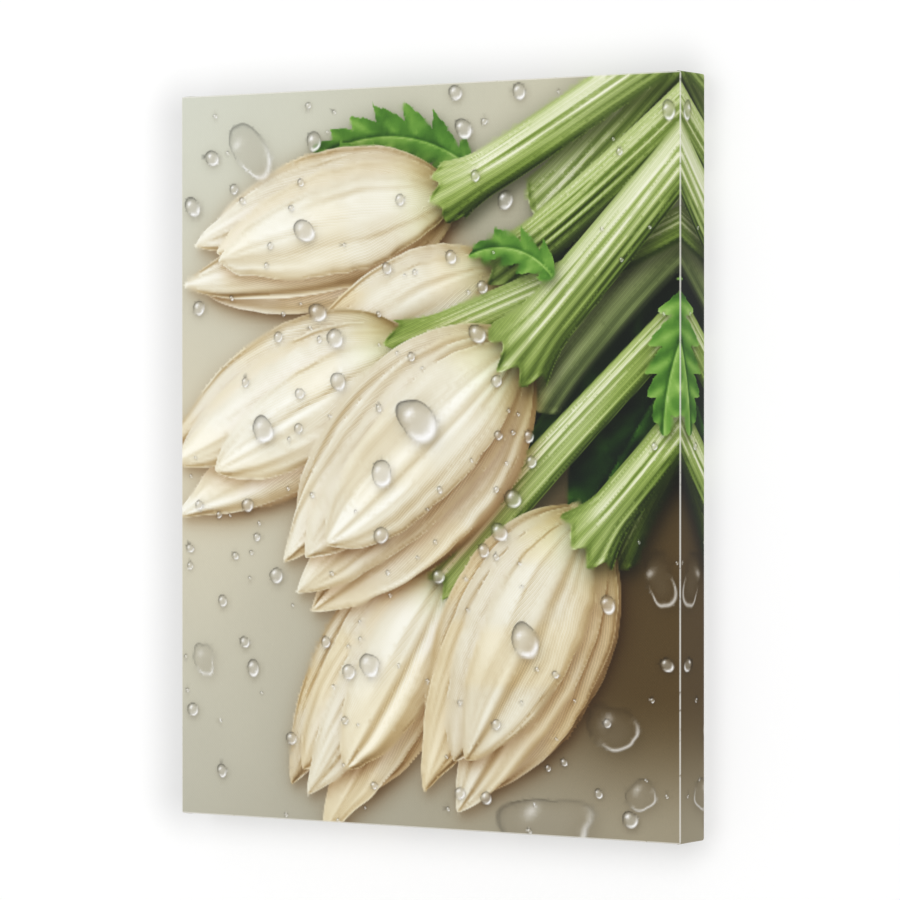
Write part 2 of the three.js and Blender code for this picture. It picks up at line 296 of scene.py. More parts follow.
# %% [markdown]
# ## A petal of an endive
# An endive's head is a tight bud of cream-white leaves. Each one is a shallow boat with a keel, soft
# side veins that run nearly along it, long pleats and a thin lifted rim. The height is the sum of
# these, and the tone that it catches is coloured from tan in the folds to ivory on the crests. The
# outline is narrow at the base, widest a little before the middle, and runs out to a point. The
# thinnest veins are finer than the samples. So each sample stores only a running count of them and
# their strength, and the canvas's material draws one line for each whole count.

# %% Petal
IVORY = [(0.0, "5E4A2E"), (0.2, "8E744C"), (0.38, "B9A47C"), (0.55, "D5C9AB"),
         (0.70, "E5DFC9"), (0.85, "F0EDDD"), (1.0, "FBFAF0")]
PETAL_SHADOW = "A5835A"
SHADOW_REACH = 8.0
BELLY = 0.40  # how far along a petal is widest
BLUNT = 0.5  # 0 for a sharp tip, 1 for a round one
LEAFY = 0.35  # how green the base is, where the sap shows
VEIN_SPACING = 13.0
VEIN_LEAN = 5.2  # how steeply the veins run with the petal rather than across it
FINE_SPACING = 12.0  # the thinnest veins, which the shader draws


def petal(points, width, seed, fuller, warm, dim):
    """One leaf of a head. Fuller, -1 to 1, makes its left or right side the broader one."""
    patch, t, aside, length = follow(points, width)
    if not patch.x.size:
        return
    half = width / 2
    along = np.clip(t, 0, 1)
    hand = np.sign(aside)
    base = 0.28 + 0.72 * np.sin(np.clip(along / BELLY, 0, 1) * math.pi / 2) ** 0.95
    left = np.clip((1 - along) / (1 - BELLY), 0, 1)
    point = (1 - (1 - left) ** (2.0 + 0.5 * BLUNT)) ** (1.0 - 0.35 * BLUNT)
    wide = base * np.where(along > BELLY, point, 1.0)
    wander = 1 + 0.09 * (noise(along * 5, hand * 3 + 5, seed) - 0.5)
    wander += 0.05 * (noise(along * 22, hand * 3 + 5, seed + 3) - 0.5)
    wander += 0.34 * (noise(along * 13, hand * 3 + 5, seed + 6) - 0.5) * ease(0.72, 1.0, along)
    edge = half * wide * (1 + 0.2 * np.clip(fuller * hand, 0, 1)) * wander
    inside = edge - np.abs(aside)
    over = aside / np.maximum(edge, 0.3)
    out = np.clip(np.abs(over), 0, 1)
    mask = ease(-0.35, 0.45, inside) * ease(-0.06, 0.0, t) * ease(0.2, 0.9, edge)
    patch.cast_shadow(mask, SHADOW_REACH, 0.76, PETAL_SHADOW)

    warp = clouds(along * length / 55, over * 0.9 + 3, seed + 1, 2) - 0.5
    height = 0.31 * half * np.sqrt(np.clip(1 - 0.96 * out**2, 0, 1)) * np.sqrt(wide)
    keel = np.exp(-(over / (0.19 - 0.10 * along)) ** 2)
    height += 1.7 * keel * ease(-0.1, 0.25, along) * (0.35 + 0.65 * wide)
    lean = out * half * VEIN_LEAN * (1.0 + 0.15 * out)
    phase = (along * length - lean) / VEIN_SPACING + warp * 2.2 + 0.35 * hand
    vein = (0.5 + 0.5 * np.cos(phase * 2 * math.pi)) ** 2
    reach = ease(0.03, 0.20, out) * ease(0.95, 0.60, out) * ease(0.02, 0.16, along)
    uneven = ease(0.25, 0.70, noise(along * 3 + 2, over * 2.6 + 7, seed + 5))
    height += 0.62 * vein * reach * (0.20 + 0.80 * uneven) * (0.3 + 0.7 * wide)
    folds = noise(over * 2.3 + 5 + warp * 0.9, along * 0.8, seed + 4)
    height += 7.0 * (folds - 0.5) * ease(0, 0.35, out) * np.sqrt(wide)
    pleats = noise(over * 6.5 + 9 + warp * 1.6, along * 1.3, seed + 2)
    height += 2.1 * (pleats - 0.5) * ease(0, 0.3, out) * np.sqrt(wide)
    creases = noise(over * 19 + 4 + warp * 3, along * 1.8, seed + 8)
    height += 0.62 * (creases - 0.5) * wide + 0.9 * ease(0.86, 0.98, out)
    tone, gloss = light_on(blur(height, 0.6), 0.62)

    value = -0.03 + 1.06 * tone + 0.10 * gloss - dim
    value -= 0.26 * np.clip(over, 0, 1) ** 1.6 * (1 - warm * 0.4)
    value -= 0.20 * ease(0.20, 0.0, along)
    value += 0.05 * vein * reach
    value -= 0.07 * np.exp(-((inside - 2.4) / 1.8) ** 2)
    value += 0.12 * np.exp(-(np.maximum(inside, 0) / 0.9) ** 2)
    value += 0.16 * (clouds(patch.x / 34, patch.y / 34, seed) - 0.5)
    colour = tint(value, IVORY)
    blush = ease(0.42, 0.7, noise(patch.x / 42, patch.y / 42, seed + 12)) * (0.25 + 0.8 * warm)
    colour *= 1 - blush[..., None] * np.array([0.0, 0.035, 0.12])
    sap = (LEAFY * ease(0.3, 0.0, along))[..., None]
    colour *= 1 - sap * np.array([0.16, 0.10, 0.42])
    count = (along * length - lean) / FINE_SPACING + warp * 3 + folds * 2
    strength = ease(0.05, 0.16, out) * ease(1.2, 6.0, inside) * (0.25 + 0.75 * uneven)
    patch.lay(mask, colour, count, strength)


# %% [markdown]
# ## A stalk
# The stalk behind each head is ribbed like celery, and flares into a scalloped collar where the head
# begins. Its section is round, and the ribs are evenly spaced round it, so they crowd towards the
# edges, as they do on a real stalk.

# %% Stalk
SAP_GREEN = [(0.0, "1B270A"), (0.2, "3D5216"), (0.38, "677F2F"), (0.54, "8FA551"),
             (0.68, "B2C27C"), (0.84, "D2DBAA"), (1.0, "EFF1D8")]
SCALLOPS = 3.2  # how many points the collar has, roughly, across the stalk
FIBRE_SPACING = 2.2  # fine fibres on the ribs, which the shader draws


def stalk(points, thin, thick, seed, flare=0.9, ribs=9, dim=0.0, pale=0.0, frill=1.0):
    """A stalk from its thin end to its thick one. Frill is how deep the collar's scallops are."""
    patch, t, aside, length = follow(points, thick * (1 + flare))
    if not patch.x.size:
        return
    along = np.clip(t, 0, 1)
    half = (thin + (thick - thin) * ease(0, 1, along)) / 2
    half = half * (1 + flare * ease(0.78, 1.02, along) ** 1.5)
    half *= 1 + 0.03 * (noise(along * 6, np.sign(aside) * 2 + 9, seed) - 0.5)
    over = np.clip(aside / half, -1, 1)
    out = np.abs(over)
    inside = half - np.abs(aside)
    scallop = 0.5 + 0.5 * np.cos(over * math.pi * SCALLOPS + seed)
    stop = 1 - (0.028 * scallop + 0.02 * noise(over * 6, out * 0 + 1, seed)) * frill - 0.05 * out**2
    mask = ease(-0.35, 0.45, inside) * ease(1 / length, 0, t - stop) * (t > -0.05)
    patch.cast_shadow(mask, 10.0, 0.85, "2A2E10")

    angle = np.arcsin(over * 0.985)
    wander = 0.5 * (noise(along * 2.5, along * 0 + 3, seed + 1) - 0.5)
    wander += 0.35 * (noise(along * 5 + over, over * 1.2 + 3, seed + 4) - 0.5)
    rib = np.cos(2 * ribs * angle + wander * math.pi)
    depth = 0.15 + 0.85 * noise(angle * 2.3 + 8, along * 2.6, seed + 3)
    height = half * 0.62 * np.sqrt(np.clip(1 - (0.985 * out) ** 2, 0.001, 1))
    height += rib * depth * (half * 0.026 + 0.14)
    height += 0.42 * (noise(angle * 11, along * 3, seed + 6) - 0.5)
    height += 0.9 * (noise(angle * 3, along * 7, seed + 7) - 0.5)
    height += np.exp(-((t - stop) * length / 2.2) ** 2)
    tone, gloss = light_on(blur(height, 0.6), 0.45)

    value = -0.09 + 0.94 * tone + 0.055 * rib * depth + 0.22 * gloss + 0.14 * pale - dim
    value += 0.42 * (clouds(along * 2.2, angle * 0.8, seed + 9, 2) - 0.5)
    value -= 0.18 * ease(-0.2, 1.0, over)
    value -= 0.10 * ease(0.86, 1.0, along) * (0.5 + 0.5 * scallop)
    value += 0.16 * np.exp(-(np.maximum(inside, 0) / 0.7) ** 2) * (over < 0)
    colour = tint(value, SAP_GREEN)
    bleach = pale + 0.25 * ease(0.55, 0.85, noise(along * 3, angle, seed + 2))
    bleach = 0.5 * np.clip(bleach, 0, 1)[..., None]
    chalk = screen_colour("F2F3E0") * (0.25 + 0.75 * np.clip(value, 0, 1)[..., None])
    strength = 0.75 * ease(1.0, 2.5, inside) * ease(0.5, 3.0, (stop - t) * length)
    patch.lay(mask, colour * (1 - bleach) + chalk * bleach, over * half / FIBRE_SPACING, strength)


# %% [markdown]
# ## A frond and a drop
# Fronds are the toothed green leaves between the stalks. Their teeth lean towards the tip. A drop is
# a small lens: it blurs and brightens what lies under it, gathers light in a crescent on the far side
# from the lamp, has a thin dark rim, and carries one sharp window of light.

# %% Frond
LEAF_GREEN = [(0.0, "0A1A0E"), (0.2, "1B3A12"), (0.38, "34601D"), (0.54, "4F822B"),
              (0.68, "72A140"), (0.84, "9DC267"), (1.0, "CDE2A4")]


def sawtooth(phase, top):
    """Rises from 0 to 1 until top, then falls back, once for each unit of phase."""
    part = phase % 1.0
    return np.where(part < top, part / top, (1 - part) / (1 - top))


def frond(points, width, seed, teeth=6, dim=0.0, cut=0.55):
    """A leaf along a curve. Cut, 0 to 1, is how deep its teeth are."""
    patch, t, aside, length = follow(points, width)
    if not patch.x.size:
        return
    along = np.clip(t, 0, 1)
    hand = np.sign(aside)
    lean = along - 0.7 * np.abs(aside) / length
    jitter = 0.5 * (noise(lean * 3, hand + 3, seed) - 0.5)
    lobe = sawtooth(lean * teeth + 0.3 * hand + jitter, 0.72) ** 0.8
    nick = 1 - 0.16 * cut * (1 - sawtooth(lean * teeth * 3.3 + hand, 0.7))
    wide = np.sin(along**0.8 * math.pi) ** 0.55 * (1 - cut + cut * lobe) * nick
    wide *= 1 + 0.25 * (noise(along * 3, hand * 2 + 4, seed + 2) - 0.5)
    inside = width / 2 * wide - np.abs(aside)
    out = np.clip(np.abs(aside) / (width / 2), 0, 1)
    mask = ease(-0.3, 0.4, inside) * (t > -0.03) * (t < 1.02)
    patch.cast_shadow(mask, 7.0, 0.7, "3A4020")

    phase = along * teeth - out + 0.35 * (noise(along * 3, aside / 9, seed + 5) - 0.5) + 0.3 * hand
    vein = (0.5 + 0.5 * np.cos((phase - 0.65) * 2 * math.pi)) ** 5
    height = 0.16 * width * np.sqrt(np.clip(1 - out**2, 0.01, 1)) - 1.6 * np.exp(-(aside / 1.6) ** 2)
    height += 1.3 * (0.5 + 0.5 * np.cos(phase * 2 * math.pi)) * ease(0, 0.4, out)
    height += 0.8 * (clouds(patch.x / 5, patch.y / 5, seed) - 0.5)
    tone, _ = light_on(blur(height, 0.5), 0.4)
    value = 0.75 * tone - dim + 0.40 * (clouds(patch.x / 16, patch.y / 16, seed + 3) - 0.5)
    value += 0.12 * vein * ease(0.02, 0.2, out) + 0.22 * np.exp(-(aside / 0.8) ** 2)
    value += 0.10 * np.exp(-(np.maximum(inside, 0) / 0.6) ** 2)
    value -= 0.10 * ease(0, width / 2, aside)
    patch.lay(mask, tint(value, LEAF_GREEN))


# %% Drop
def drop(x, y, radius, seed, stretch=1.0, turn=0.0, uneven=0.10, clear=0.0):
    """A bead of water. Clear, 0 to 1, takes away its brightness and leaves a thin puddle."""
    reach = radius * max(stretch, 1) + radius * 1.3 + 4
    patch = Patch((x - reach, y - reach), (x + reach, y + reach))
    if not patch.x.size:
        return
    dx, dy = patch.x - x, patch.y - y
    u = (dx * math.cos(turn) + dy * math.sin(turn)) / stretch
    v = dy * math.cos(turn) - dx * math.sin(turn)
    angle = np.arctan2(v, u)
    wave = noise(2 + np.cos(angle) * 1.1, 2 + np.sin(angle) * 1.1, seed) - 0.5
    out = np.hypot(u, v) / radius / (1 + 2 * uneven * wave)
    mask = ease(1 + 0.35 / radius, 1 - 0.45 / radius, out)
    patch.cast_shadow(mask, radius * 0.55, 0.36 * (1 - 0.7 * clear), "6A5C48")

    lit_side = -0.62 * dx / (radius * stretch) - 0.78 * dy / radius
    below = picture[patch.slices].astype(float)
    colour = below * 0.4 + blur(below, max(radius * 0.3, 1)) * 0.6
    colour += (0.34 * (1 - clear) * ease(1.0, 0.3, out))[..., None] * (screen_colour("FFFDF2") - colour)
    colour *= 1 - (0.20 * np.clip(lit_side, 0, 1) * ease(0.35, 0.95, out) * (1 - clear))[..., None]
    crescent = np.exp(-((out - 0.78 - 0.16 * clear) / (0.20 - 0.17 * clear)) ** 2)
    crescent *= np.clip(-lit_side * 1.35 + 0.2 * clear, 0, 1)
    colour += (0.95 * crescent * (1 - 0.35 * clear))[..., None] * (1 - colour)
    rim = np.exp(-((out - 0.97) / (0.05 + 0.22 / radius)) ** 2)
    colour *= 1 - (0.34 * rim * (0.62 + 0.38 * lit_side) * (1 - 0.4 * clear))[..., None]
    hot_x, hot_y = dx + 0.34 * radius * stretch, dy + 0.38 * radius
    length = (hot_x * 0.75 - hot_y * 0.66) / (0.30 * radius + 0.1)
    breadth = (hot_x * 0.66 + hot_y * 0.75) / (0.17 * radius + 0.1)
    window = (0.97 * (1 - 0.6 * clear) * np.exp(-length**2 - breadth**2))[..., None]
    patch.lay(mask, colour * (1 - window) + window)


# %% [markdown]
# ## A head of endive
# A head is a fan of petals from one collar. The back ones are laid first, and stand out to the sides;
# the front one comes last and covers the middle. Each entry gives how far to the side a petal stands,
# how long and how wide it is next to the head, and how its tip curls. A seeded generator shifts each
# one a little, so that no two heads are alike.

# %% Head
FANS = {
    "full": [(-1.0, 0.84, 0.58, 0.1), (1.05, 0.90, 0.58, 0.1), (-0.78, 0.97, 0.62, 0.3),
             (0.80, 1.02, 0.62, -0.2), (-0.34, 1.0, 0.66, 0.2), (0.42, 0.92, 0.68, -0.2),
             (0.04, 0.86, 0.74, 0.15)],
    "open": [(-1.05, 0.92, 0.56, 0.4), (1.0, 0.98, 0.58, -0.35), (0.62, 0.90, 0.62, 0.2),
             (-0.66, 1.02, 0.64, -0.2), (0.22, 1.0, 0.66, 0.3), (-0.22, 0.86, 0.72, -0.1)],
    "slim": [(-0.9, 0.88, 0.60, 0.2), (0.9, 0.95, 0.62, -0.3), (-0.45, 1.0, 0.68, 0.1),
             (0.30, 0.93, 0.76, -0.1)],
}


def head(collar, tip, width, seed, fan="full", warm=0.0, dim=0.0, bow=0.0):
    """A head from its collar to its tip. Bow bends it to one side."""
    chance = np.random.default_rng(seed)
    collar, tip = np.array(collar, dtype=float), np.array(tip, dtype=float)
    length = np.linalg.norm(tip - collar)
    axis = (tip - collar) / length
    side = np.array([-axis[1], axis[0]])
    for number, (off, far, wide, curl) in enumerate(FANS[fan]):
        off += chance.uniform(-0.10, 0.10)
        far *= chance.uniform(0.95, 1.04)
        start = collar + side * off * width * 0.10 + axis * 2
        shoulder = collar + axis * length * 0.24 + side * off * width * 0.42
        waist = collar + axis * length * 0.64 + side * (off * 0.40 + bow * 0.4 - curl * 0.05) * width
        end = collar + axis * length * far + side * (off * 0.30 + bow + curl * 0.16) * width
        behind = 0.09 if number < 2 else 0.0
        petal(
            [start, shoulder, waist, end], width * wide, seed * 13 + number,
            fuller=-np.sign(off) * (abs(off) > 0.3),
            warm=warm + 0.3 * abs(off),
            dim=dim + behind + 0.05 * max(off, 0),
        )


# %% [markdown]
# ## The still life
# The bunch lies on a pale, wet ground that darkens towards the lower right. Its stalks come in from
# the upper right and the heads fan out to the lower left. Places are in millimetres from the upper
# left of the face, x to the right and y down, and the order is from the back to the front.

# %% Ground
GROUND_CORNERS = ["CFD2C5", "C6C1A8", "B6B4A4", "9C937C"]  # upper left, upper right, lower left, right
u, v = (across / WIDTH)[..., None], (down / HEIGHT)[..., None]
upper_left, upper_right, lower_left, lower_right = [screen_colour(code) for code in GROUND_CORNERS]
picture[:] = (upper_left * (1 - u) + upper_right * u) * (1 - v)
picture[:] += (lower_left * (1 - u) + lower_right * u) * v
glow = 0.85 * np.exp(-(u / 0.30) ** 2 - ((v - 0.50) / 0.32) ** 2)
picture[:] = picture * (1 - glow) + screen_colour("DAD3BB") * glow
dusk = 0.90 * ease(0.58, 0.92, u) * ease(0.24, 0.46, v) * ease(1.0, 0.80, v)
picture[:] = picture * (1 - dusk) + screen_colour("4E3B1C") * dusk
picture *= 1 + 0.05 * (clouds(across / 90, down / 90, 3)[..., None] - 0.5)
BUNCH_X, BUNCH_Y = 250, 270  # the middle of the bunch
lengthwise = (across - BUNCH_X) * 0.72 + (down - BUNCH_Y) * 0.69
crosswise = (down - BUNCH_Y) * 0.72 - (across - BUNCH_X) * 0.69
pool = 0.30 * np.exp(-(lengthwise / 170) ** 2 - (crosswise / 140) ** 2)[..., None]
picture *= 1 - pool * (1 - screen_colour("A08A6C"))
print(f"ground, {picture.mean():.2f} bright on average")

# %% The bunch, back to front
deep_leaves = [
    ([(450, 10), (390, 60), (330, 120), (262, 180)], 110),
    ([(450, 100), (410, 170), (370, 230), (322, 300)], 100),
    ([(440, 60), (370, 130), (320, 180), (270, 260)], 90),
]
for number, (route, width) in enumerate(deep_leaves):
    frond(route, width, 40 + number, teeth=5, dim=0.46, cut=0.0)
stalk([(460, -70), (400, -10), (350, 40), (290, 90)], 46, 40, 19, flare=0.2, dim=0.16, frill=0)
stalk([(460, 150), (420, 210), (384, 262), (352, 322)], 22, 20, 20, flare=0.3, dim=0.22, frill=0)
stalk([(460, 40), (394, 90), (334, 146), (280, 214)], 66, 50, 18, flare=0.1, ribs=6, dim=0.08,
      pale=0.75, frill=0)
frond([(240, 58), (204, 30), (156, 26), (106, 50)], 48, 60, teeth=7)
frond([(190, 62), (150, 42), (110, 50), (78, 72)], 34, 61, teeth=6, dim=0.06)
head((222, 78), (8, 118), 84, 5, dim=0.02, bow=-0.05)
stalk([(450, -40), (350, 0), (290, 48), (206, 80)], 30, 32, 3, flare=0.7, dim=0.02)
head((262, 128), (92, 208), 76, 6, fan="slim", warm=0.5, dim=0.10)
stalk([(450, -14), (384, 40), (322, 92), (250, 134)], 32, 34, 4, flare=0.7, dim=0.08)
head((186, 176), (-6, 268), 88, 7, fan="open")
stalk([(440, 80), (350, 124), (260, 150), (170, 186)], 22, 30, 5, dim=0.10)
head((222, 322), (108, 486), 88, 9, fan="open", warm=0.3, dim=0.07, bow=-0.05)
stalk([(440, 120), (380, 180), (296, 250), (208, 342)], 24, 32, 6, dim=0.06)
head((330, 292), (226, 478), 100, 10, warm=0.35, dim=0.12)
stalk([(456, 150), (424, 210), (376, 258), (320, 316)], 26, 34, 7, dim=0.05)
frond([(430, 126), (404, 156), (388, 196), (388, 236)], 46, 62, cut=0.5)
head((276, 180), (96, 340), 104, 11, dim=0.02)
stalk([(450, 0), (396, 62), (334, 124), (262, 198)], 32, 42, 8, flare=0.8, pale=0.12, frill=1.3)
frond([(304, 132), (288, 112), (262, 106), (238, 116)], 32, 63, teeth=4)
print(f"bunch, with fine lines on {(fine_lines[..., 1] > 0).mean():.0%} of the picture")

# %% Water
puddles = [(352, 428, 15, 1.3, 0.6), (300, 492, 20, 1.9, 0.1), (384, 330, 12, 1.6, 1.4),
           (56, 40, 13, 1.9, 0.9), (20, 392, 9, 1.3, 1.3), (372, 470, 10, 1.2, 0.4)]
for x, y, radius, stretch, turn in puddles:
    drop(x, y, radius, x, stretch, turn, uneven=0.30, clear=0.75)
large_drops = [(70, 232, 8, 1.3, 0.9), (196, 226, 13, 1.35, 0.7), (168, 262, 8, 1.2, 1.1),
               (104, 96, 7.5, 1.3, 0.5), (282, 372, 10, 1.35, 1.1), (158, 392, 8, 1.1, 1.0),
               (262, 300, 6, 1.2, 0.6), (130, 170, 6, 1.2, 0.4)]
for x, y, radius, stretch, turn in large_drops:
    drop(x, y, radius, x, stretch, turn, uneven=0.14)
DROP_TRIES = 200
SMALLEST_DROP = 1.1  # its radius
DROP_SPREAD = 5.4  # how much larger a drop can be
DROP_GAP = 4
chance = np.random.default_rng(23)
beads = [(x, y, radius) for x, y, radius, _, _ in large_drops]
for _ in range(DROP_TRIES):
    x, y = chance.uniform(0, WIDTH), chance.uniform(0, HEIGHT)
    radius = SMALLEST_DROP + DROP_SPREAD * chance.random() ** 2.4
    stretch, turn = chance.uniform(0.9, 1.35), chance.uniform(0.3, 1.6)
    red, green, _ = picture[int(y / STEP), int(x / STEP)]
    on_green = green > red * 1.08
    crowded = any(math.hypot(x - a, y - b) < radius + c + DROP_GAP for a, b, c in beads)
    if crowded or (on_green and radius > 1.6):
        continue
    beads.append((x, y, radius))
    drop(x, y, radius, len(beads), stretch, turn)
print(f"still life with {len(beads)} drops")

# %% [markdown]
# ## Where the mesh must be fine
# The print is carried by the mesh itself: each vertex holds a colour, and the shader blends between
# them. A plain grid would waste most of them on smooth ground. So the picture is cut into squares of
# four millimetres, and a square is cut into four whenever blending across it would miss too much of
# the picture. The picture is first mirrored outwards over the edges, because on a gallery wrap the
# sides carry a mirror image of it. The threshold is searched for until the budget of points is met.

# %% Choose the points
POINT_BUDGET = 80000
COARSEST = round(4 / STEP)  # samples across the largest square
MIRRORED = 32.0  # millimetres of picture mirrored out past each edge
border = round(MIRRORED / STEP)
wrapped = np.pad(picture, [(border, border), (border, border), (0, 0)], mode="symmetric")
to_whole = [(0, 1 + -count % COARSEST) for count in wrapped.shape[:2]]
wrapped = np.pad(wrapped, [*to_whole, (0, 0)], mode="edge")
wrapped_lines = np.pad(fine_lines, [(border, border), (border, border), (0, 0)], mode="symmetric")
TONE_WEIGHTS = np.array([0.45, 0.40, 0.15])
tone = wrapped @ TONE_WEIGHTS


def missed(size):
    """For squares of this many samples, what blending between the corners misses, squared."""
    rows, columns = (n // size for n in tone.shape)
    corners = tone[::size, ::size]
    part = (np.arange(size) / size)[None, :, None, None]
    upper = corners[:-1, None, :, None] * (1 - part) + corners[1:, None, :, None] * part
    part = (np.arange(size) / size)[None, None, None, :]
    left, right = upper[:rows, :, :columns], upper[:rows, :, 1:columns + 1]
    blended = left * (1 - part) + right * part
    squares = tone[:rows * size, :columns * size].reshape(rows, size, columns, size)
    return ((squares - blended) ** 2).sum(axis=(1, 3))


sizes = [COARSEST // 2**k for k in range(int(math.log2(COARSEST)) + 1)]
errors = [missed(size) for size in sizes[:-1]]


def corner_points(threshold):
    """The corners of all squares, as a mask over the samples."""
    mask = np.zeros(tone.shape, dtype=bool)
    open_squares = np.ones_like(errors[0], dtype=bool)
    mask[::COARSEST, ::COARSEST] = True
    for size, error in zip(sizes[:-1], errors):
        split = open_squares & (error > threshold)
        row, column = np.nonzero(split)
        half = size // 2
        for i in range(3):
            for j in range(3):
                mask[row * size + i * half, column * size + j * half] = True
        open_squares = np.kron(split, np.ones((2, 2), dtype=bool))
    return mask


low, high = 1e-6, 1.0
for _ in range(18):
    middle = math.sqrt(low * high)
    if corner_points(middle).sum() > POINT_BUDGET:
        low = middle
    else:
        high = middle
detail_mask = corner_points(high)
print(f"{detail_mask.sum()} points follow the picture")

# %% [markdown]
# ## Folding the sheet
# The canvas is one sheet. Here u runs to the right and v up from the middle of the face, along the
# cloth, in millimetres. It turns round the front edge on a small radius, runs down the side, turns
# again, and ends in a flap on the back. Every point is a point of a smaller inner box plus the bend
# radius along the outward direction, so the same rule with a smaller radius gives the inner face of
# the cloth. At each corner the side's cloth is folded over the top in a triangle, a hospital corner.

# %% The fold
CLOTH = 0.6  # the cloth's thickness
BEND = 1.2  # the radius of its outer face, round an edge of the frame
FLAP = 20.0  # how far it runs in over the back
ROUNDING = 0.001  # the triangulation hands its points back in single precision
QUARTER = BEND * math.pi / 2
core = np.array([WIDTH / 2 - BEND, HEIGHT / 2 - BEND])  # where the front bend starts
side_start = core + QUARTER
side_length = DEPTH - 2 * BEND
side_end = side_start + side_length
flap_start = side_end + QUARTER
flap_end = flap_start + FLAP - BEND
edge_at = core + QUARTER / 2  # the picture's edge lies in the middle of the bend
front_y = canvas_low[1] / MM
middle_z = (canvas_low[2] + canvas_high[2]) / 2 / MM


def turn_and_run(distance, axis):
    """The angle turned by, and the depth and inward run of the inner box, along one axis."""
    far = np.abs(distance)
    angle = np.clip((far - core[axis]) / BEND, 0, math.pi / 2)
    angle += np.clip((far - side_end[axis]) / BEND, 0, math.pi / 2)
    depth = np.clip(far - side_start[axis], 0, side_length)
    inward = np.maximum(far - flap_start[axis], 0)
    return angle, depth, inward


def fold(u, v, thickness=0.0):
    """Places in space for points of the sheet, in millimetres."""
    radius = BEND - thickness
    turn_u, depth_u, inward_u = turn_and_run(u, 0)
    turn_v, depth_v, inward_v = turn_and_run(v, 1)
    on_side = np.abs(u) > core[0] + ROUNDING
    tuck = np.where(on_side, np.maximum(np.abs(v) - side_start[1], 0), 0)
    turn_v = np.where(on_side, np.minimum(turn_v, math.pi / 2), turn_v)
    depth_v = np.where(on_side, 0, depth_v)
    inward_v = np.where(on_side, 0, inward_v)
    hand_u, hand_v = np.sign(u), np.sign(v)
    x = hand_u * (np.minimum(np.abs(u), core[0]) - inward_u - tuck)
    z = hand_v * (np.minimum(np.abs(v), core[1]) - inward_v)
    y = front_y + BEND + depth_u + depth_v
    lift = CLOTH * ease(0, 3, tuck)
    flat_v = np.cos(np.minimum(turn_v, math.pi / 2))
    x = x + radius * hand_u * np.sin(turn_u) * flat_v
    y = y - radius * np.where(on_side, np.cos(turn_u) * flat_v, np.cos(turn_v))
    z = z + hand_v * (radius * np.sin(turn_v) + lift)
    return np.stack([x, y, z + middle_z], axis=-1)


print(f"the flat sheet is {2 * flap_end[0]:.1f} x {2 * flap_end[1]:.1f} mm")

# %% The print's colour on the sheet
PRIMER = "F1EFE8"
PRINT_ENDS = 1.25  # the ink runs this far round the back bend
picture_to_sheet = edge_at * 2 / np.array([WIDTH, HEIGHT])


def samples_at(places, source):
    """Where points of the sheet fall in a grid of samples, as column and row."""
    spot = places / picture_to_sheet * np.array([1, -1]) + np.array([WIDTH, HEIGHT]) / 2
    return np.clip(spot / STEP - 0.5 + border, 0, np.array(source.shape[1::-1]) - 1.001)


def bareness(places):
    """0 where the sheet is printed, 1 on the flaps."""
    past = (np.abs(places) - side_end).max(axis=1)
    return ease(PRINT_ENDS, PRINT_ENDS + 0.6, past)


def picture_at(places, source):
    """The print's colour at points of the sheet, blended between samples, and primer on the flaps."""
    spot = samples_at(places, source)
    cell = np.floor(spot).astype(int)
    part = (spot - cell)[:, :, None]
    x, y = cell[:, 0], cell[:, 1]
    upper = source[y, x] * (1 - part[:, 0]) + source[y, x + 1] * part[:, 0]
    lower = source[y + 1, x] * (1 - part[:, 0]) + source[y + 1, x + 1] * part[:, 0]
    colour = upper * (1 - part[:, 1]) + lower * part[:, 1]
    bare = bareness(places)[:, None]
    return colour * (1 - bare) + screen_colour(PRIMER) * bare


SOFTER = [(1.5, blur(wrapped, 0.5)), (3.0, blur(wrapped, 1.0))]  # for points further apart than this


def print_colours(places, faces):
    """The print at every point, softened where the points are too far apart to carry its detail."""
    spacing = np.full(len(places), np.inf)
    for k in range(3):
        start, end = faces[:, k], faces[:, (k + 1) % 3]
        length = np.linalg.norm(places[start] - places[end], axis=-1)
        np.minimum.at(spacing, start, length)
        np.minimum.at(spacing, end, length)
    colours = picture_at(places, wrapped)
    for limit, softened in SOFTER:
        colours = np.where(spacing[:, None] > limit, picture_at(places, softened), colours)
    return colours


# %% [markdown]
# ## From points to cloth
# The outline of the unfolded sheet has mitred flaps and the four triangles. A Delaunay triangulation
# joins all points inside it into well-shaped triangles. Rows of points along each bend make it round.
# The inner face of the cloth has a much coarser mesh, but the same outline, so a rim can join the two
# into one closed sheet.

# %% The outline
def outline_corner(hand_u, hand_v):
    """The outline round one corner of the sheet, from the side's flap to the top's flap."""
    reach = flap_end[0] - side_end[0]
    points = [
        (flap_end[0], side_start[1] - reach),
        (side_end[0], side_start[1]),
        (side_end[0], side_start[1] + side_length),
        (side_start[0], side_start[1]),
        (core[0], side_start[1]),
        (core[0], side_end[1]),
        (core[0] - reach, flap_end[1]),
    ]
    points = [(hand_u * a, hand_v * b) for a, b in points]
    return points if hand_u * hand_v > 0 else points[::-1]


OUTLINE_SPACING = 2.5
corners = sum((outline_corner(*hands) for hands in [(1, 1), (-1, 1), (-1, -1), (1, -1)]), [])
outline = []
for start, end in zip(corners, corners[1:] + corners[:1]):
    start, end = np.array(start), np.array(end)
    pieces = max(1, round(np.linalg.norm(end - start) / OUTLINE_SPACING))
    outline += [tuple(start + (end - start) * k / pieces) for k in range(pieces)]
outline = np.array(outline)
print(f"outline of {len(outline)} points")


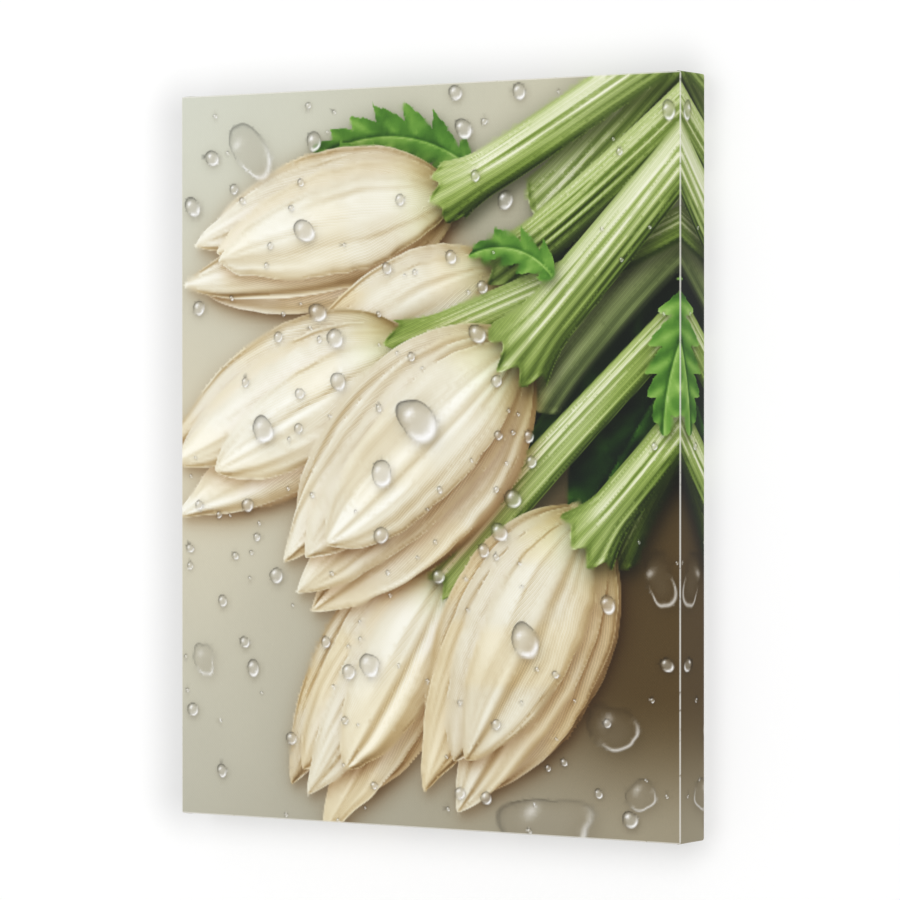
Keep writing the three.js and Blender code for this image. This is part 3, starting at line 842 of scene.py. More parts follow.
# %% Points inside the outline and along the bends
def inside_outline(points, clearance):
    """True for points inside the sheet and at least this far from its edge."""
    far_u, far_v = np.abs(points[:, 0]), np.abs(points[:, 1])
    over_u, over_v = far_u - side_start[0], far_v - side_start[1]
    past_u, past_v = far_u - side_end[0], far_v - side_end[1]
    in_side = (far_u < flap_end[0] - clearance) & (over_v < -clearance - np.maximum(past_u, 0))
    in_side &= far_u > core[0]
    in_tuck = (over_v < over_u - 1.5 * clearance) & (over_v >= -clearance) & (past_u < -clearance)
    in_top = far_v < flap_end[1] - clearance
    in_top &= far_u < core[0] - clearance - np.maximum(past_v, 0)
    in_face = (over_v < 0) & (far_u <= core[0])
    return in_side | in_tuck | in_top | in_face


def bend_rows(along_spacing, offsets):
    """Rows of points along the four front bends and the four back bends."""
    rows = []
    for axis in (0, 1):
        other = 1 - axis
        count = round(2 * side_end[other] / along_spacing)
        along = np.linspace(-side_end[other], side_end[other], count)
        for centre in (edge_at[axis], side_end[axis] + QUARTER / 2):
            for offset in offsets:
                for hand in (-1, 1):
                    row = np.full_like(along, hand * (centre + offset * QUARTER / 2))
                    rows.append(np.stack([row, along] if axis == 0 else [along, row], axis=-1))
    return np.concatenate(rows)


def clear_of_bends(points, margin):
    """True for points at least this far outside every bend."""
    keep = np.ones(len(points), dtype=bool)
    for axis in (0, 1):
        far = np.abs(points[:, axis])
        for centre in (edge_at[axis], side_end[axis] + QUARTER / 2):
            keep &= np.abs(far - centre) > QUARTER / 2 + margin
    return keep


def even_grid(half_width, half_height, spacing):
    """Evenly spaced points round the middle of the sheet."""
    grid_u = np.arange(-half_width, half_width + 1, spacing)
    grid_v = np.arange(-half_height, half_height + 1, spacing)
    return np.stack([part.ravel() for part in np.meshgrid(grid_u, grid_v)], axis=-1)


# %% Triangles
def triangulate(points):
    """Triangles inside the outline, whose points come first in the list of points."""
    loop = list(range(len(outline)))
    everything = [Vector(point) for point in np.concatenate([outline, points])]
    found = delaunay_2d_cdt(everything, [], [loop], 1, 1e-6)
    order = {}
    for new, originals in enumerate(found[3]):
        for original in originals:
            order[original] = new
    places = np.array([tuple(place) for place in found[0]])
    return places, np.array(found[2]), [order[k] for k in loop]


def follow_edges(places, faces, colours):
    """Turns the diagonal of each square so that it joins the two corners that are more alike."""
    pairs = np.stack([faces, np.roll(faces, -1, axis=1)], axis=-1)
    lengths = np.linalg.norm(places[pairs[..., 0]] - places[pairs[..., 1]], axis=-1)
    longest = lengths.argmax(axis=1)
    every = np.arange(len(faces))
    start, end = faces[every, longest], faces[every, (longest + 1) % 3]
    apex = faces[every, (longest + 2) % 3]
    key = np.minimum(start, end).astype(np.int64) * len(places) + np.maximum(start, end)
    order = np.argsort(key, kind="stable")
    twins = order[:-1][key[order[:-1]] == key[order[1:]]]
    others = order[1:][key[order[:-1]] == key[order[1:]]]
    a, b, c, d = start[twins], end[twins], apex[twins], apex[others]
    along = np.linalg.norm(places[a] - places[b], axis=-1)
    across = np.linalg.norm(places[c] - places[d], axis=-1)
    unlike = np.abs(colours[a] - colours[b]).sum(axis=-1) - np.abs(colours[c] - colours[d]).sum(axis=-1)
    turn = (np.abs(along - across) < 0.02 * along) & (unlike > 1e-4)
    faces[twins[turn]] = np.stack([c[turn], a[turn], d[turn]], axis=-1)
    faces[others[turn]] = np.stack([d[turn], b[turn], c[turn]], axis=-1)
    print(f"{turn.sum()} of {len(twins)} diagonals turned")


# %% The printed face of the cloth
FLAP_SPACING = 6.0
FLAP_GRID = (260, 310)  # half its width and height, a little past the flaps
ROW_SPACING = 1.6
row, column = np.nonzero(detail_mask)
spots = np.stack([column, row], axis=-1) * STEP + STEP / 2 - border * STEP
spots = (spots - np.array([WIDTH, HEIGHT]) / 2) * picture_to_sheet * np.array([1, -1])
printed = (np.abs(spots) < side_end).all(axis=1)
spots = spots[printed & clear_of_bends(spots, 0.25) & inside_outline(spots, 0.5)]
flap_points = even_grid(*FLAP_GRID, FLAP_SPACING)
on_flap = (np.abs(flap_points) > flap_start + 1).any(axis=1)
flap_points = flap_points[on_flap & inside_outline(flap_points, 2.0)]
rows_of_points = bend_rows(ROW_SPACING, (-1.0, -0.33, 0.33, 1.0))
rows_of_points = rows_of_points[inside_outline(rows_of_points, 0.5)]
outer_points = np.concatenate([spots, rows_of_points, flap_points])
places_out, faces_out, loop_out = triangulate(outer_points)
colours_out = print_colours(places_out, faces_out)
follow_edges(places_out, faces_out, colours_out)

# %% The inner face of the cloth
INNER_SPACING = 7.5
INNER_GRID = (255, 305)
inner_points = even_grid(*INNER_GRID, INNER_SPACING)
inner_points = inner_points[inside_outline(inner_points, 2.5) & clear_of_bends(inner_points, 2.0)]
inner_rows = bend_rows(INNER_SPACING, (-1.0, 0.0, 1.0))
inner_rows = inner_rows[inside_outline(inner_rows, 2.0)]
places_in, faces_in, loop_in = triangulate(np.concatenate([inner_points, inner_rows]))
print(f"cloth of {len(faces_out)} printed and {len(faces_in)} inner triangles")

# %% Join the two faces
shell = np.concatenate([fold(*places_out.T), fold(*places_in.T, thickness=CLOTH)]) * MM
first_inner = len(places_out)
inner_faces = [[first_inner + k for k in reversed(face)] for face in faces_in]
rim = []
for here, after in zip(range(len(loop_out)), [*range(1, len(loop_out)), 0]):
    rim.append([loop_out[after], loop_out[here], first_inner + loop_in[here], first_inner + loop_in[after]])
mesh = bpy.data.meshes.new("printed_canvas")
mesh.from_pydata(shell.tolist(), [], [*faces_out.tolist(), *inner_faces, *rim])
print(f"closed sheet of {len(mesh.polygons)} faces, {len(rim)} of them round its edge")

# %% Store the print, the fine lines and the cloth's own coordinates
sheet_places = np.concatenate([places_out, places_in])
colours = np.ones((len(shell), 4))
colours[:first_inner, :3] = to_linear(colours_out)
colours[first_inner:, :3] = to_linear(screen_colour(PRIMER))
on_fold = (np.abs(outline) > side_start - 0.01).all(axis=1)  # where the cloth is folded, not cut
rim_out, rim_in = np.array(loop_out), np.array(loop_in) + first_inner
colours[rim_in[on_fold]] = colours[rim_out[on_fold]]
mesh.attributes.new("print", "FLOAT_COLOR", "POINT").data.foreach_set("color", colours.ravel())
column, row = np.rint(samples_at(places_out, wrapped_lines)).astype(int).T
line_values = np.zeros((len(shell), 3))
line_values[:first_inner, :2] = wrapped_lines[row, column]
line_values[:first_inner, 1] *= 1 - bareness(places_out)
mesh.attributes.new("lines", "FLOAT_VECTOR", "POINT").data.foreach_set("vector", line_values.ravel())
flat_places = np.concatenate([sheet_places * MM, np.zeros((len(shell), 1))], axis=1)
mesh.attributes.new("cloth", "FLOAT_VECTOR", "POINT").data.foreach_set("vector", flat_places.ravel())
print(f"coloured {first_inner} points of the print and {len(places_in)} of the inner face")

# %% [markdown]
# ## The texture map
# A map lays every face of the cloth out flat, for finishes that are painted onto an image. It could be
# cut and packed by Blender, but the unfolded sheet already is its own map. The outer face fills most
# of it, and the inner face lies smaller beside it. The rim between the two gets a narrow band just
# outside the outer face, so that it covers nothing else.

# %% The texture map
MAP_SCALE = 0.9 / (2 * flap_end[1] + 6)
INNER_SCALE = 0.30 * MAP_SCALE
RIM_BAND = 1.0 * MAP_SCALE  # one millimetre wide
bake_places = sheet_places.copy()
bake_places[:first_inner] = (places_out + flap_end + 3) * MAP_SCALE
inner_corner = np.array([(2 * flap_end[0] + 9) * MAP_SCALE, 0.01])
bake_places[first_inner:] = (places_in + flap_end) * INNER_SCALE + inner_corner
corner_vertices = np.empty(len(mesh.loops), dtype=np.int32)
mesh.loops.foreach_get("vertex_index", corner_vertices)
corner_places = bake_places[corner_vertices]
tangent = np.roll(outline, -1, axis=0) - np.roll(outline, 1, axis=0)
outward = np.stack([tangent[:, 1], -tangent[:, 0]], axis=-1)
outward /= np.linalg.norm(outward, axis=1, keepdims=True)
near = bake_places[rim_out]
far = near + outward * RIM_BAND
rim_corners = np.stack([np.roll(near, -1, axis=0), near, far, np.roll(far, -1, axis=0)], axis=1)
corner_places[-4 * len(rim):] = rim_corners.reshape(-1, 2)
uv_map = mesh.uv_layers.new(name="OFBake")
uv_map.data.foreach_set("uv", corner_places.ravel())
print(f"map from {corner_places.min():.3f} to {corner_places.max():.3f}")

# %% The canvas object
canvas = bpy.data.objects.new("printed_canvas", mesh)
bpy.context.scene.collection.objects.link(canvas)
mesh.shade_smooth()
is_inner = np.zeros(len(mesh.polygons), dtype=np.int32)
is_inner[len(faces_out):] = 1
is_inner[-len(rim):][on_fold & np.roll(on_fold, -1)] = 0
print(f"{canvas.name}: {len(mesh.polygons)} faces")

# %% [markdown]
# ## The printed face
# The print is pigment ink on a matt, gesso-primed cotton canvas. It gives the eye a soft satin sheen
# and, close to, the grid of the weave. IOR is that of an acrylic primer, about 1.49, and roughness
# about 0.55. On the sharp front edges the primer cracks when the cloth is folded, and a thin pale line
# runs along them: cracked primer, with a painted highlight where the edge catches the light. On the
# flaps behind, the primer was brushed on thinly and shows the cotton.
# Real threads are 0.5 mm apart. They are drawn 1 mm apart, to show at all. The hairline veins of the
# picture are drawn here too, over the points' colours, from the count that each point carries.

# %% Weave, bands and sums
def add_weave(tree, spacing):
    """The height of a plain weave: two sets of threads, over and under in turn."""
    cloth = add_node(tree, "ShaderNodeAttribute", {"attribute_name": "cloth"})
    parts = add_node(tree, "ShaderNodeSeparateXYZ", links={0: cloth.outputs["Vector"]})
    waves = []
    for part in ("X", "Y"):
        phase = add_node(tree, "ShaderNodeMath", {"operation": "MULTIPLY"}, {1: math.pi / spacing},
                         {0: parts.outputs[part]})
        waves.append(add_node(tree, "ShaderNodeMath", {"operation": "SINE"}, links={0: phase.outputs[0]}))
    height = add_node(tree, "ShaderNodeMath", {"operation": "MULTIPLY"},
                      links={0: waves[0].outputs[0], 1: waves[1].outputs[0]})
    slubs = add_node(tree, "ShaderNodeTexNoise", values={"Scale": 0.5 / spacing, "Detail": 3.0},
                     links={"Vector": cloth.outputs["Vector"]})
    return add_node(tree, "ShaderNodeMath", {"operation": "MULTIPLY"},
                    links={0: height.outputs[0], 1: slubs.outputs["Fac"]})


def band(tree, source, low, high):
    """1 above high and 0 below low, with a soft step between."""
    return add_node(tree, "ShaderNodeMapRange", {"interpolation_type": "SMOOTHSTEP"},
                    {"From Min": low, "From Max": high}, {"Value": source})


def math_node(tree, operation, *sources):
    """Joins sockets or plain numbers by one operation."""
    values = {k: source for k, source in enumerate(sources) if isinstance(source, (int, float))}
    links = {k: source for k, source in enumerate(sources) if k not in values}
    return add_node(tree, "ShaderNodeMath", {"operation": operation}, values, links).outputs[0]


# %% The front edges: cracked primer and a painted highlight
printed, tree, shader = new_material("pigment_print_on_primed_canvas")
shader.inputs["IOR"].default_value = 1.49
shader.inputs["Specular IOR Level"].default_value = 0.18
ink_layer = add_node(tree, "ShaderNodeAttribute", {"attribute_name": "print"})
where = add_node(tree, "ShaderNodeTexCoord").outputs["Object"]
parts = add_node(tree, "ShaderNodeSeparateXYZ", links={0: where})
# The pale line on the front edges is a painted highlight, broken where the primer cracks.
EDGE_HIGHLIGHT_WIDTH = 1.2 * MM  # the pale line fades out this far from each face
EDGE_HIGHLIGHT_STRENGTH = 0.72
near_sides = []
for part, centre, half in (("X", 0.0, WIDTH / 2 * MM), ("Z", middle_z * MM, HEIGHT / 2 * MM)):
    offset = math_node(tree, "ABSOLUTE", math_node(tree, "SUBTRACT", parts.outputs[part], centre))
    near_sides.append(band(tree, offset, half - EDGE_HIGHLIGHT_WIDTH, half - 0.35 * EDGE_HIGHLIGHT_WIDTH).outputs[0])
near_edge = math_node(tree, "MAXIMUM", *near_sides)
front = canvas_low[1]
ahead = band(tree, parts.outputs["Y"], front + EDGE_HIGHLIGHT_WIDTH, front + 0.35 * EDGE_HIGHLIGHT_WIDTH).outputs[0]
cracks = add_node(tree, "ShaderNodeTexNoise", values={"Scale": 260.0, "Detail": 4.0},
                  links={"Vector": where})  # breaks about 4 mm long
cracked = band(tree, cracks.outputs["Fac"], 0.22, 0.42).outputs[0]
# a painted highlight: a pale line where the front edges catch the light, broken by the cracks
painted_edge_highlight = math_node(tree, "MULTIPLY", math_node(tree, "MULTIPLY", near_edge, ahead), cracked)
painted_edge_highlight = math_node(tree, "MULTIPLY", painted_edge_highlight, EDGE_HIGHLIGHT_STRENGTH)
print(f"pale line on the edges at z {middle_z:.1f} +- {HEIGHT / 2:.0f} and x +- {WIDTH / 2:.0f} mm")

# %% The fine lines
line_layer = add_node(tree, "ShaderNodeAttribute", {"attribute_name": "lines"})
line_parts = add_node(tree, "ShaderNodeSeparateXYZ", links={0: line_layer.outputs["Vector"]})
quaver = add_node(tree, "ShaderNodeTexNoise", values={"Scale": 90.0, "Detail": 2.0},
                  links={"Vector": where})  # the lines sway over about 11 mm
count = math_node(tree, "MULTIPLY_ADD", quaver.outputs["Fac"], 0.6, line_parts.outputs["X"])
hairline = set_ramp(
    add_node(tree, "ShaderNodeValToRGB", links={"Fac": math_node(tree, "FRACT", count)}),
    [(0.0, "BCBCBC"), (0.30, "BCBCBC"), (0.42, "8C8C8C"), (0.55, "E0E0E0"), (0.72, "BCBCBC")])
drawn = add_node(
    tree, "ShaderNodeMix", {"data_type": "RGBA", "blend_type": "OVERLAY"},
    links={"Factor": line_parts.outputs["Y"], "A": ink_layer.outputs["Color"],
           "B": hairline.outputs["Color"]})
print(f"{len(tree.nodes)} nodes so far in {printed.name}")

# %% The thin primer behind, and the surface
THREAD = 1.0 * MM
WEAVE_DEPTH = 0.06 * MM
COTTON_SHOWS = 0.55  # how much of the cotton's colour shows where the primer is thinnest
brushing = add_node(tree, "ShaderNodeMapping", values={"Scale": (35.0, 35.0, 220.0)},
                    links={"Vector": where})  # strokes of the brush, 29 mm long and 4.5 mm wide
thin_primer = add_node(tree, "ShaderNodeTexNoise", values={"Scale": 1.0, "Detail": 4.0},
                       links={"Vector": brushing.outputs[0]})
thin_primer = band(tree, thin_primer.outputs["Fac"], 0.42, 0.72).outputs[0]
behind = band(tree, parts.outputs["Y"], canvas_high[1] - 1.0 * MM, canvas_high[1] - 0.4 * MM).outputs[0]
thin_primer = math_node(tree, "MULTIPLY", math_node(tree, "MULTIPLY", thin_primer, behind), COTTON_SHOWS)
flap = add_node(tree, "ShaderNodeMix", {"data_type": "RGBA"}, {"B": ink("DCD3BE")},
                {"Factor": thin_primer, "A": drawn.outputs["Result"]})
# the painted highlight of the front edges goes on last, in the primer's colour
cracked_and_lit_edge = add_node(tree, "ShaderNodeMix", {"data_type": "RGBA"}, {"B": ink(PRIMER)},
                {"Factor": painted_edge_highlight, "A": flap.outputs["Result"]})
tree.links.new(cracked_and_lit_edge.outputs["Result"], shader.inputs["Base Color"])
grain = add_node(tree, "ShaderNodeTexNoise", values={"Scale": 900.0, "Detail": 2.0},
                 links={"Vector": where})  # about one thread across
sheen = add_node(tree, "ShaderNodeMapRange", values={"To Min": 0.48, "To Max": 0.64},
                 links={"Value": grain.outputs["Fac"]})
tree.links.new(sheen.outputs[0], shader.inputs["Roughness"])
relief = add_node(tree, "ShaderNodeBump", values={"Strength": 0.5, "Distance": WEAVE_DEPTH},
                  links={"Height": add_weave(tree, THREAD).outputs[0]})
tree.links.new(relief.outputs[0], shader.inputs["Normal"])
print(f"{printed.name}: {len(tree.nodes)} nodes")

# %% [markdown]
# ## The raw back of the cloth
# Behind, the cotton is bare: a warm off-white with slubs, small brown seed flecks and painted shade in
# the low gaps between the threads. It is quite matt, with the soft edge glow of loose fibres, which is
# sheen. Its threads are drawn 1.4 mm apart instead of 0.5 mm, so that they show from behind.

# %% Raw cotton
raw_cotton, tree, shader = new_material("raw_cotton_duck")
shader.inputs["Roughness"].default_value = 0.92
shader.inputs["Sheen Weight"].default_value = 0.25
shader.inputs["Sheen Roughness"].default_value = 0.6
RAW_THREAD = 1.4 * MM
weave = add_weave(tree, RAW_THREAD)
cloth = add_node(tree, "ShaderNodeAttribute", {"attribute_name": "cloth"}).outputs["Vector"]
# the low gaps of the weave get a darker colour, a painted shade between the threads
raised = band(tree, weave.outputs[0], -0.5, 0.4).outputs[0]
threads = set_ramp(add_node(tree, "ShaderNodeValToRGB", links={"Fac": raised}),
                   [(0.0, "B7A98C"), (0.45, "D3C8AE"), (1.0, "E6DEC9")])
flecks = add_node(tree, "ShaderNodeTexVoronoi", values={"Scale": 55.0, "Randomness": 1.0},
                  links={"Vector": cloth})  # one fleck in each 18 mm or so
fleck = band(tree, flecks.outputs["Distance"], 0.055, 0.03).outputs[0]
flecked = add_node(tree, "ShaderNodeMix", {"data_type": "RGBA"}, {"B": ink("8A7350")},
                   {"Factor": math_node(tree, "MULTIPLY", fleck, 0.7), "A": threads.outputs["Color"]})
shade = add_node(tree, "ShaderNodeTexNoise", values={"Scale": 14.0, "Detail": 3.0}, links={"Vector": cloth})
shaded = add_node(tree, "ShaderNodeMix", {"data_type": "RGBA", "blend_type": "MULTIPLY"},
                  {"B": ink("E9E2D2")}, {"Factor": shade.outputs["Fac"], "A": flecked.outputs["Result"]})
tree.links.new(shaded.outputs["Result"], shader.inputs["Base Color"])
relief = add_node(tree, "ShaderNodeBump", values={"Strength": 0.8, "Distance": 0.25 * MM},
                  links={"Height": weave.outputs[0]})
tree.links.new(relief.outputs[0], shader.inputs["Normal"])
print(f"{raw_cotton.name}: {len(tree.nodes)} nodes")

# %% Hand the canvas over
mesh.materials.append(printed)
mesh.materials.append(raw_cotton)
mesh.polygons.foreach_set("material_index", is_inner)
bars = [f"stretcher_bar_{side}" for side in ("top", "bottom", "left", "right")]
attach(canvas, "root")
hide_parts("canvas")

# %% [markdown]
# ## The stretcher bars
# Four bars of planed pine make the frame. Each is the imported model's own bar, copied, with its loose
# triangles joined into flat faces again and its long edges eased, as a plane leaves them. The grain
# has to run along each bar, so every copy stores its own grain coordinates: along the bar, across it
# and through it, plus a shift of its own, as if each bar came from another part of the tree.

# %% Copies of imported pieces
NOTCH_LENGTH = 12 * MM  # shorter edges belong to holes and joints, and stay sharp


def clean_copy(name, node, ease_width, long_edge=NOTCH_LENGTH):
    """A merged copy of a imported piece, with flat faces and its long outer edges bevelled."""
    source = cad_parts[node]
    form = bmesh.new()
    form.from_mesh(source.data)
    bmesh.ops.transform(form, matrix=source.matrix_world, verts=form.verts)
    bmesh.ops.remove_doubles(form, verts=form.verts, dist=1e-6)
    bmesh.ops.dissolve_limit(form, angle_limit=math.radians(1), verts=form.verts, edges=form.edges)
    sharp = [edge for edge in form.edges
             if edge.calc_length() > long_edge and edge.calc_face_angle(0) > math.radians(25)]
    bmesh.ops.bevel(form, geom=sharp, offset=ease_width, segments=2, profile=0.6, affect="EDGES",
                    clamp_overlap=True)
    mesh = bpy.data.meshes.new(name)
    form.to_mesh(mesh)
    form.free()
    piece = bpy.data.objects.new(name, mesh)
    bpy.context.scene.collection.objects.link(piece)
    return piece


def store_grain(piece, lengthwise, shift):
    """Writes the grain coordinates, in metres, with the length of the wood first."""
    places = np.empty(len(piece.data.vertices) * 3)
    piece.data.vertices.foreach_get("co", places)
    places = places.reshape(-1, 3)
    order = [0, 2, 1] if lengthwise == "x" else [2, 0, 1]
    grain = places[:, order] + np.array(shift)
    layer = piece.data.attributes.new("grain", "FLOAT_VECTOR", "POINT")
    layer.data.foreach_set("vector", grain.ravel())


def finish_piece(piece, material, slot, *nodes):
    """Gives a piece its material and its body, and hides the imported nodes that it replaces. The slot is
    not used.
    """
    piece.data.materials.clear()
    piece.data.materials.append(material)
    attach(piece, "root")
    if nodes:
        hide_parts(*nodes)


# %% [markdown]
# ## Pine
# Planed, unvarnished pine: pale straw with orange-brown lines of latewood a few millimetres apart,
# where the saw crossed the year rings. The rings are circles round the heart of the tree, which lies
# outside the bar, so their lines run almost straight and bow a little. IOR of wood is about 1.54, and
# bare planed pine is rather matt, roughness about 0.6. Fibres give it a fine streaky relief.

# %% Pine
RING = 3.6 * MM  # from one year's line to the next


def streaks(tree, source, along_scale, across_scale, detail):
    """Noise drawn out along the wood, with this many cells to the metre along it and across it."""
    scales = (along_scale, across_scale, across_scale)
    stretch = add_node(tree, "ShaderNodeMapping", values={"Scale": scales}, links={"Vector": source})
    return add_node(tree, "ShaderNodeTexNoise", values={"Scale": 1.0, "Detail": detail},
                    links={"Vector": stretch.outputs[0]}).outputs["Fac"]


pine, tree, shader = new_material("planed_pine")
shader.inputs["IOR"].default_value = 1.54
grain = add_node(tree, "ShaderNodeAttribute", {"attribute_name": "grain"}).outputs["Vector"]
parts = add_node(tree, "ShaderNodeSeparateXYZ", links={0: grain})
WAVER = 11 * MM  # how far a line wanders along the bar
waver = math_node(tree, "MULTIPLY", streaks(tree, grain, 7.0, 38.0, 2.0), WAVER)
offset = math_node(tree, "ADD", parts.outputs["Y"], waver)
offset_squared = math_node(tree, "MULTIPLY", offset, offset)
depth_squared = math_node(tree, "MULTIPLY", parts.outputs["Z"], parts.outputs["Z"])
radius = math_node(tree, "SQRT", math_node(tree, "ADD", offset_squared, depth_squared))
ring = math_node(tree, "FRACT", math_node(tree, "DIVIDE", radius, RING))
YEAR = [(0.0, "EBD3A2"), (0.45, "E8CB95"), (0.80, "D9AE6F"), (0.93, "C08F50"), (1.0, "E6CB97")]
ring_tone = set_ramp(add_node(tree, "ShaderNodeValToRGB", links={"Fac": ring}), YEAR)
fibre = streaks(tree, grain, 30.0, 1500.0, 2.0)
fibre_tone = set_ramp(add_node(tree, "ShaderNodeValToRGB", links={"Fac": fibre}),
                      [(0.3, "D8CDBB"), (0.7, "FFFFFF")])
wood = add_node(tree, "ShaderNodeMix", {"data_type": "RGBA", "blend_type": "MULTIPLY"}, {"Factor": 0.6},
                {"A": ring_tone.outputs["Color"], "B": fibre_tone.outputs["Color"]})
broad = set_ramp(add_node(tree, "ShaderNodeValToRGB", links={"Fac": streaks(tree, grain, 3.0, 25.0, 2.0)}),
                 [(0.3, "F1E4CC"), (0.7, "FFFFFF")])
wood = add_node(tree, "ShaderNodeMix", {"data_type": "RGBA", "blend_type": "MULTIPLY"}, {"Factor": 0.8},
                {"A": wood.outputs["Result"], "B": broad.outputs["Color"]})
tree.links.new(wood.outputs["Result"], shader.inputs["Base Color"])
rough = add_node(tree, "ShaderNodeMapRange", values={"To Min": 0.52, "To Max": 0.68},
                 links={"Value": fibre})
tree.links.new(rough.outputs[0], shader.inputs["Roughness"])
relief = add_node(tree, "ShaderNodeBump", values={"Strength": 0.35, "Distance": 0.15 * MM},
                  links={"Height": fibre})
tree.links.new(relief.outputs[0], shader.inputs["Normal"])
print(f"{pine.name}: {len(tree.nodes)} nodes")

# %% The four bars
EASED_EDGE = 0.7 * MM
bar_shifts = [(0.0, 0.060, 0.075), (0.9, 0.545, 0.085), (1.7, 0.265, 0.070), (2.6, -0.12, 0.090)]
for bar, shift in zip(bars, bar_shifts):
    piece = clean_copy(f"pine_{bar}", bar, EASED_EDGE)
    store_grain(piece, "x" if bar.endswith(("top", "bottom")) else "z", shift)
    finish_piece(piece, pine, "pine", bar)
    print(f"{piece.name}: {len(piece.data.polygons)} faces")

# %% [markdown]
# ## The corner keys
# Thin tapered keys of beech are tapped into the inner corners, to spread the frame and pull the
# canvas tight. Beech is pinker and closer than pine, with short dark flecks, its rays. The grain runs
# along each key, so the ones in the top and bottom bars stand upright.

# %% Beech keys
beech, tree, shader = new_material("sawn_beech")
shader.inputs["Roughness"].default_value = 0.6
shader.inputs["IOR"].default_value = 1.54
grain = add_node(tree, "ShaderNodeAttribute", {"attribute_name": "grain"}).outputs["Vector"]
body = set_ramp(add_node(tree, "ShaderNodeValToRGB", links={"Fac": streaks(tree, grain, 12.0, 260.0, 3.0)}),
                [(0.3, "C99F74"), (0.7, "DDBB92")])
flecks = streaks(tree, grain, 350.0, 2600.0, 1.0)  # about 3 mm long and 0.4 mm wide
rays = set_ramp(add_node(tree, "ShaderNodeValToRGB", links={"Fac": flecks}),
                [(0.30, "A87D57"), (0.40, "FFFFFF")])
wood = add_node(tree, "ShaderNodeMix", {"data_type": "RGBA", "blend_type": "MULTIPLY"}, {"Factor": 0.55},
                {"A": body.outputs["Color"], "B": rays.outputs["Color"]})
tree.links.new(wood.outputs["Result"], shader.inputs["Base Color"])
relief = add_node(tree, "ShaderNodeBump", values={"Strength": 0.3, "Distance": 0.1 * MM},
                  links={"Height": streaks(tree, grain, 60.0, 1800.0, 2.0)})
tree.links.new(relief.outputs[0], shader.inputs["Normal"])
KEY_EDGE = 0.25 * MM
for side in ("top", "bottom", "left", "right"):
    for number in (1, 2):
        node = f"corner_key_{side}_{number}"
        piece = clean_copy(f"beech_{node}", node, KEY_EDGE, long_edge=2 * MM)
        store_grain(piece, "z" if side in ("top", "bottom") else "x", (0.1 * number, 0.07, 0.03))
        finish_piece(piece, beech, "beech", node)
        print(f"{piece.name}: {len(piece.data.polygons)} faces")

# %% [markdown]
# ## The staples
# Twenty-eight staples hold the canvas. One wire bent to a crown and two legs is repeated at a point
# over each packed staple, which is a job for Geometry Nodes: the points carry a turn, the tree sweeps
# a flat wire along a fillet-cornered path, sets one copy on every point with a slight random tilt, as
# a hand-held gun leaves them, and makes the copies real.

# %% Staple points
staple_nodes = sorted(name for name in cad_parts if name.startswith("staple_"))
CORNER_TURNS = {"top_left": -1, "top_right": 1, "bottom_left": 1, "bottom_right": -1}
points = bpy.data.meshes.new("staples")
staple_places = []
staple_turns = []
for node in staple_nodes:
    low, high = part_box(node)
    staple_places.append(((low[0] + high[0]) / 2, high[1], (low[2] + high[2]) / 2))
    kind = node.removeprefix("staple_")
    if kind.startswith("corner_"):
        staple_turns.append(CORNER_TURNS[kind.removeprefix("corner_")] * math.pi / 4)
    else:
        staple_turns.append(math.pi / 2 if kind.startswith(("left", "right")) else 0.0)
points.from_pydata(staple_places, [], [])
points.attributes.new("turn", "FLOAT", "POINT").data.foreach_set("value", staple_turns)
crown_low, crown_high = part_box("staple_top_1")
CROWN = crown_high[0] - crown_low[0]
LEG = crown_high[1] - crown_low[1]
BREADTH = crown_high[2] - crown_low[2]
WIRE = 0.7 * MM  # the wire's thickness
print(f"{len(staple_nodes)} staples, {CROWN / MM:.1f} mm wide with {LEG / MM:.1f} mm legs")

# %% Steel wire
steel_wire, tree, shader = new_material("galvanised_steel_wire")
shader.inputs["Metallic"].default_value = 1.0
where = add_node(tree, "ShaderNodeTexCoord").outputs["Object"]
scuffs = add_node(tree, "ShaderNodeTexNoise", values={"Scale": 1400.0, "Detail": 3.0},
                  links={"Vector": where})
metal = set_ramp(add_node(tree, "ShaderNodeValToRGB", links={"Fac": scuffs.outputs["Fac"]}),
                 [(0.3, "A9ACB0"), (0.7, "D5D7DA")])
tree.links.new(metal.outputs["Color"], shader.inputs["Base Color"])
rough = add_node(tree, "ShaderNodeMapRange", values={"To Min": 0.22, "To Max": 0.42},
                 links={"Value": scuffs.outputs["Fac"]})
tree.links.new(rough.outputs[0], shader.inputs["Roughness"])
print(f"{steel_wire.name}: {len(tree.nodes)} nodes")


# %% Making and running a tree
def new_tree(name, inputs):
    """An empty Geometry Nodes tree with a mesh in and out, and these named number inputs."""
    tree = bpy.data.node_groups.new(name, "GeometryNodeTree")
    tree.interface.new_socket("Geometry", in_out="INPUT", socket_type="NodeSocketGeometry")
    tree.interface.new_socket("Geometry", in_out="OUTPUT", socket_type="NodeSocketGeometry")
    for label, value in inputs.items():
        kind = "NodeSocketInt" if isinstance(value, int) else "NodeSocketFloat"
        tree.interface.new_socket(label, in_out="INPUT", socket_type=kind).default_value = value
    return tree, tree.nodes.new("NodeGroupInput"), tree.nodes.new("NodeGroupOutput")


def run_tree(name, mesh, tree, inputs):
    """Puts a tree on a mesh, sets its inputs by identifier, and returns the plain result."""
    carrier = bpy.data.objects.new(name, mesh)
    bpy.context.scene.collection.objects.link(carrier)
    modifier = carrier.modifiers.new(name, "NODES")
    modifier.node_group = tree
    for item in tree.interface.items_tree:
        if item.in_out == "INPUT" and item.name in inputs:
            modifier[item.identifier] = inputs[item.name]
    ready = carrier.evaluated_get(bpy.context.evaluated_depsgraph_get())
    result = bpy.data.meshes.new_from_object(ready)
    carrier.modifiers.clear()
    carrier.data = result
    result.name = name
    return carrier


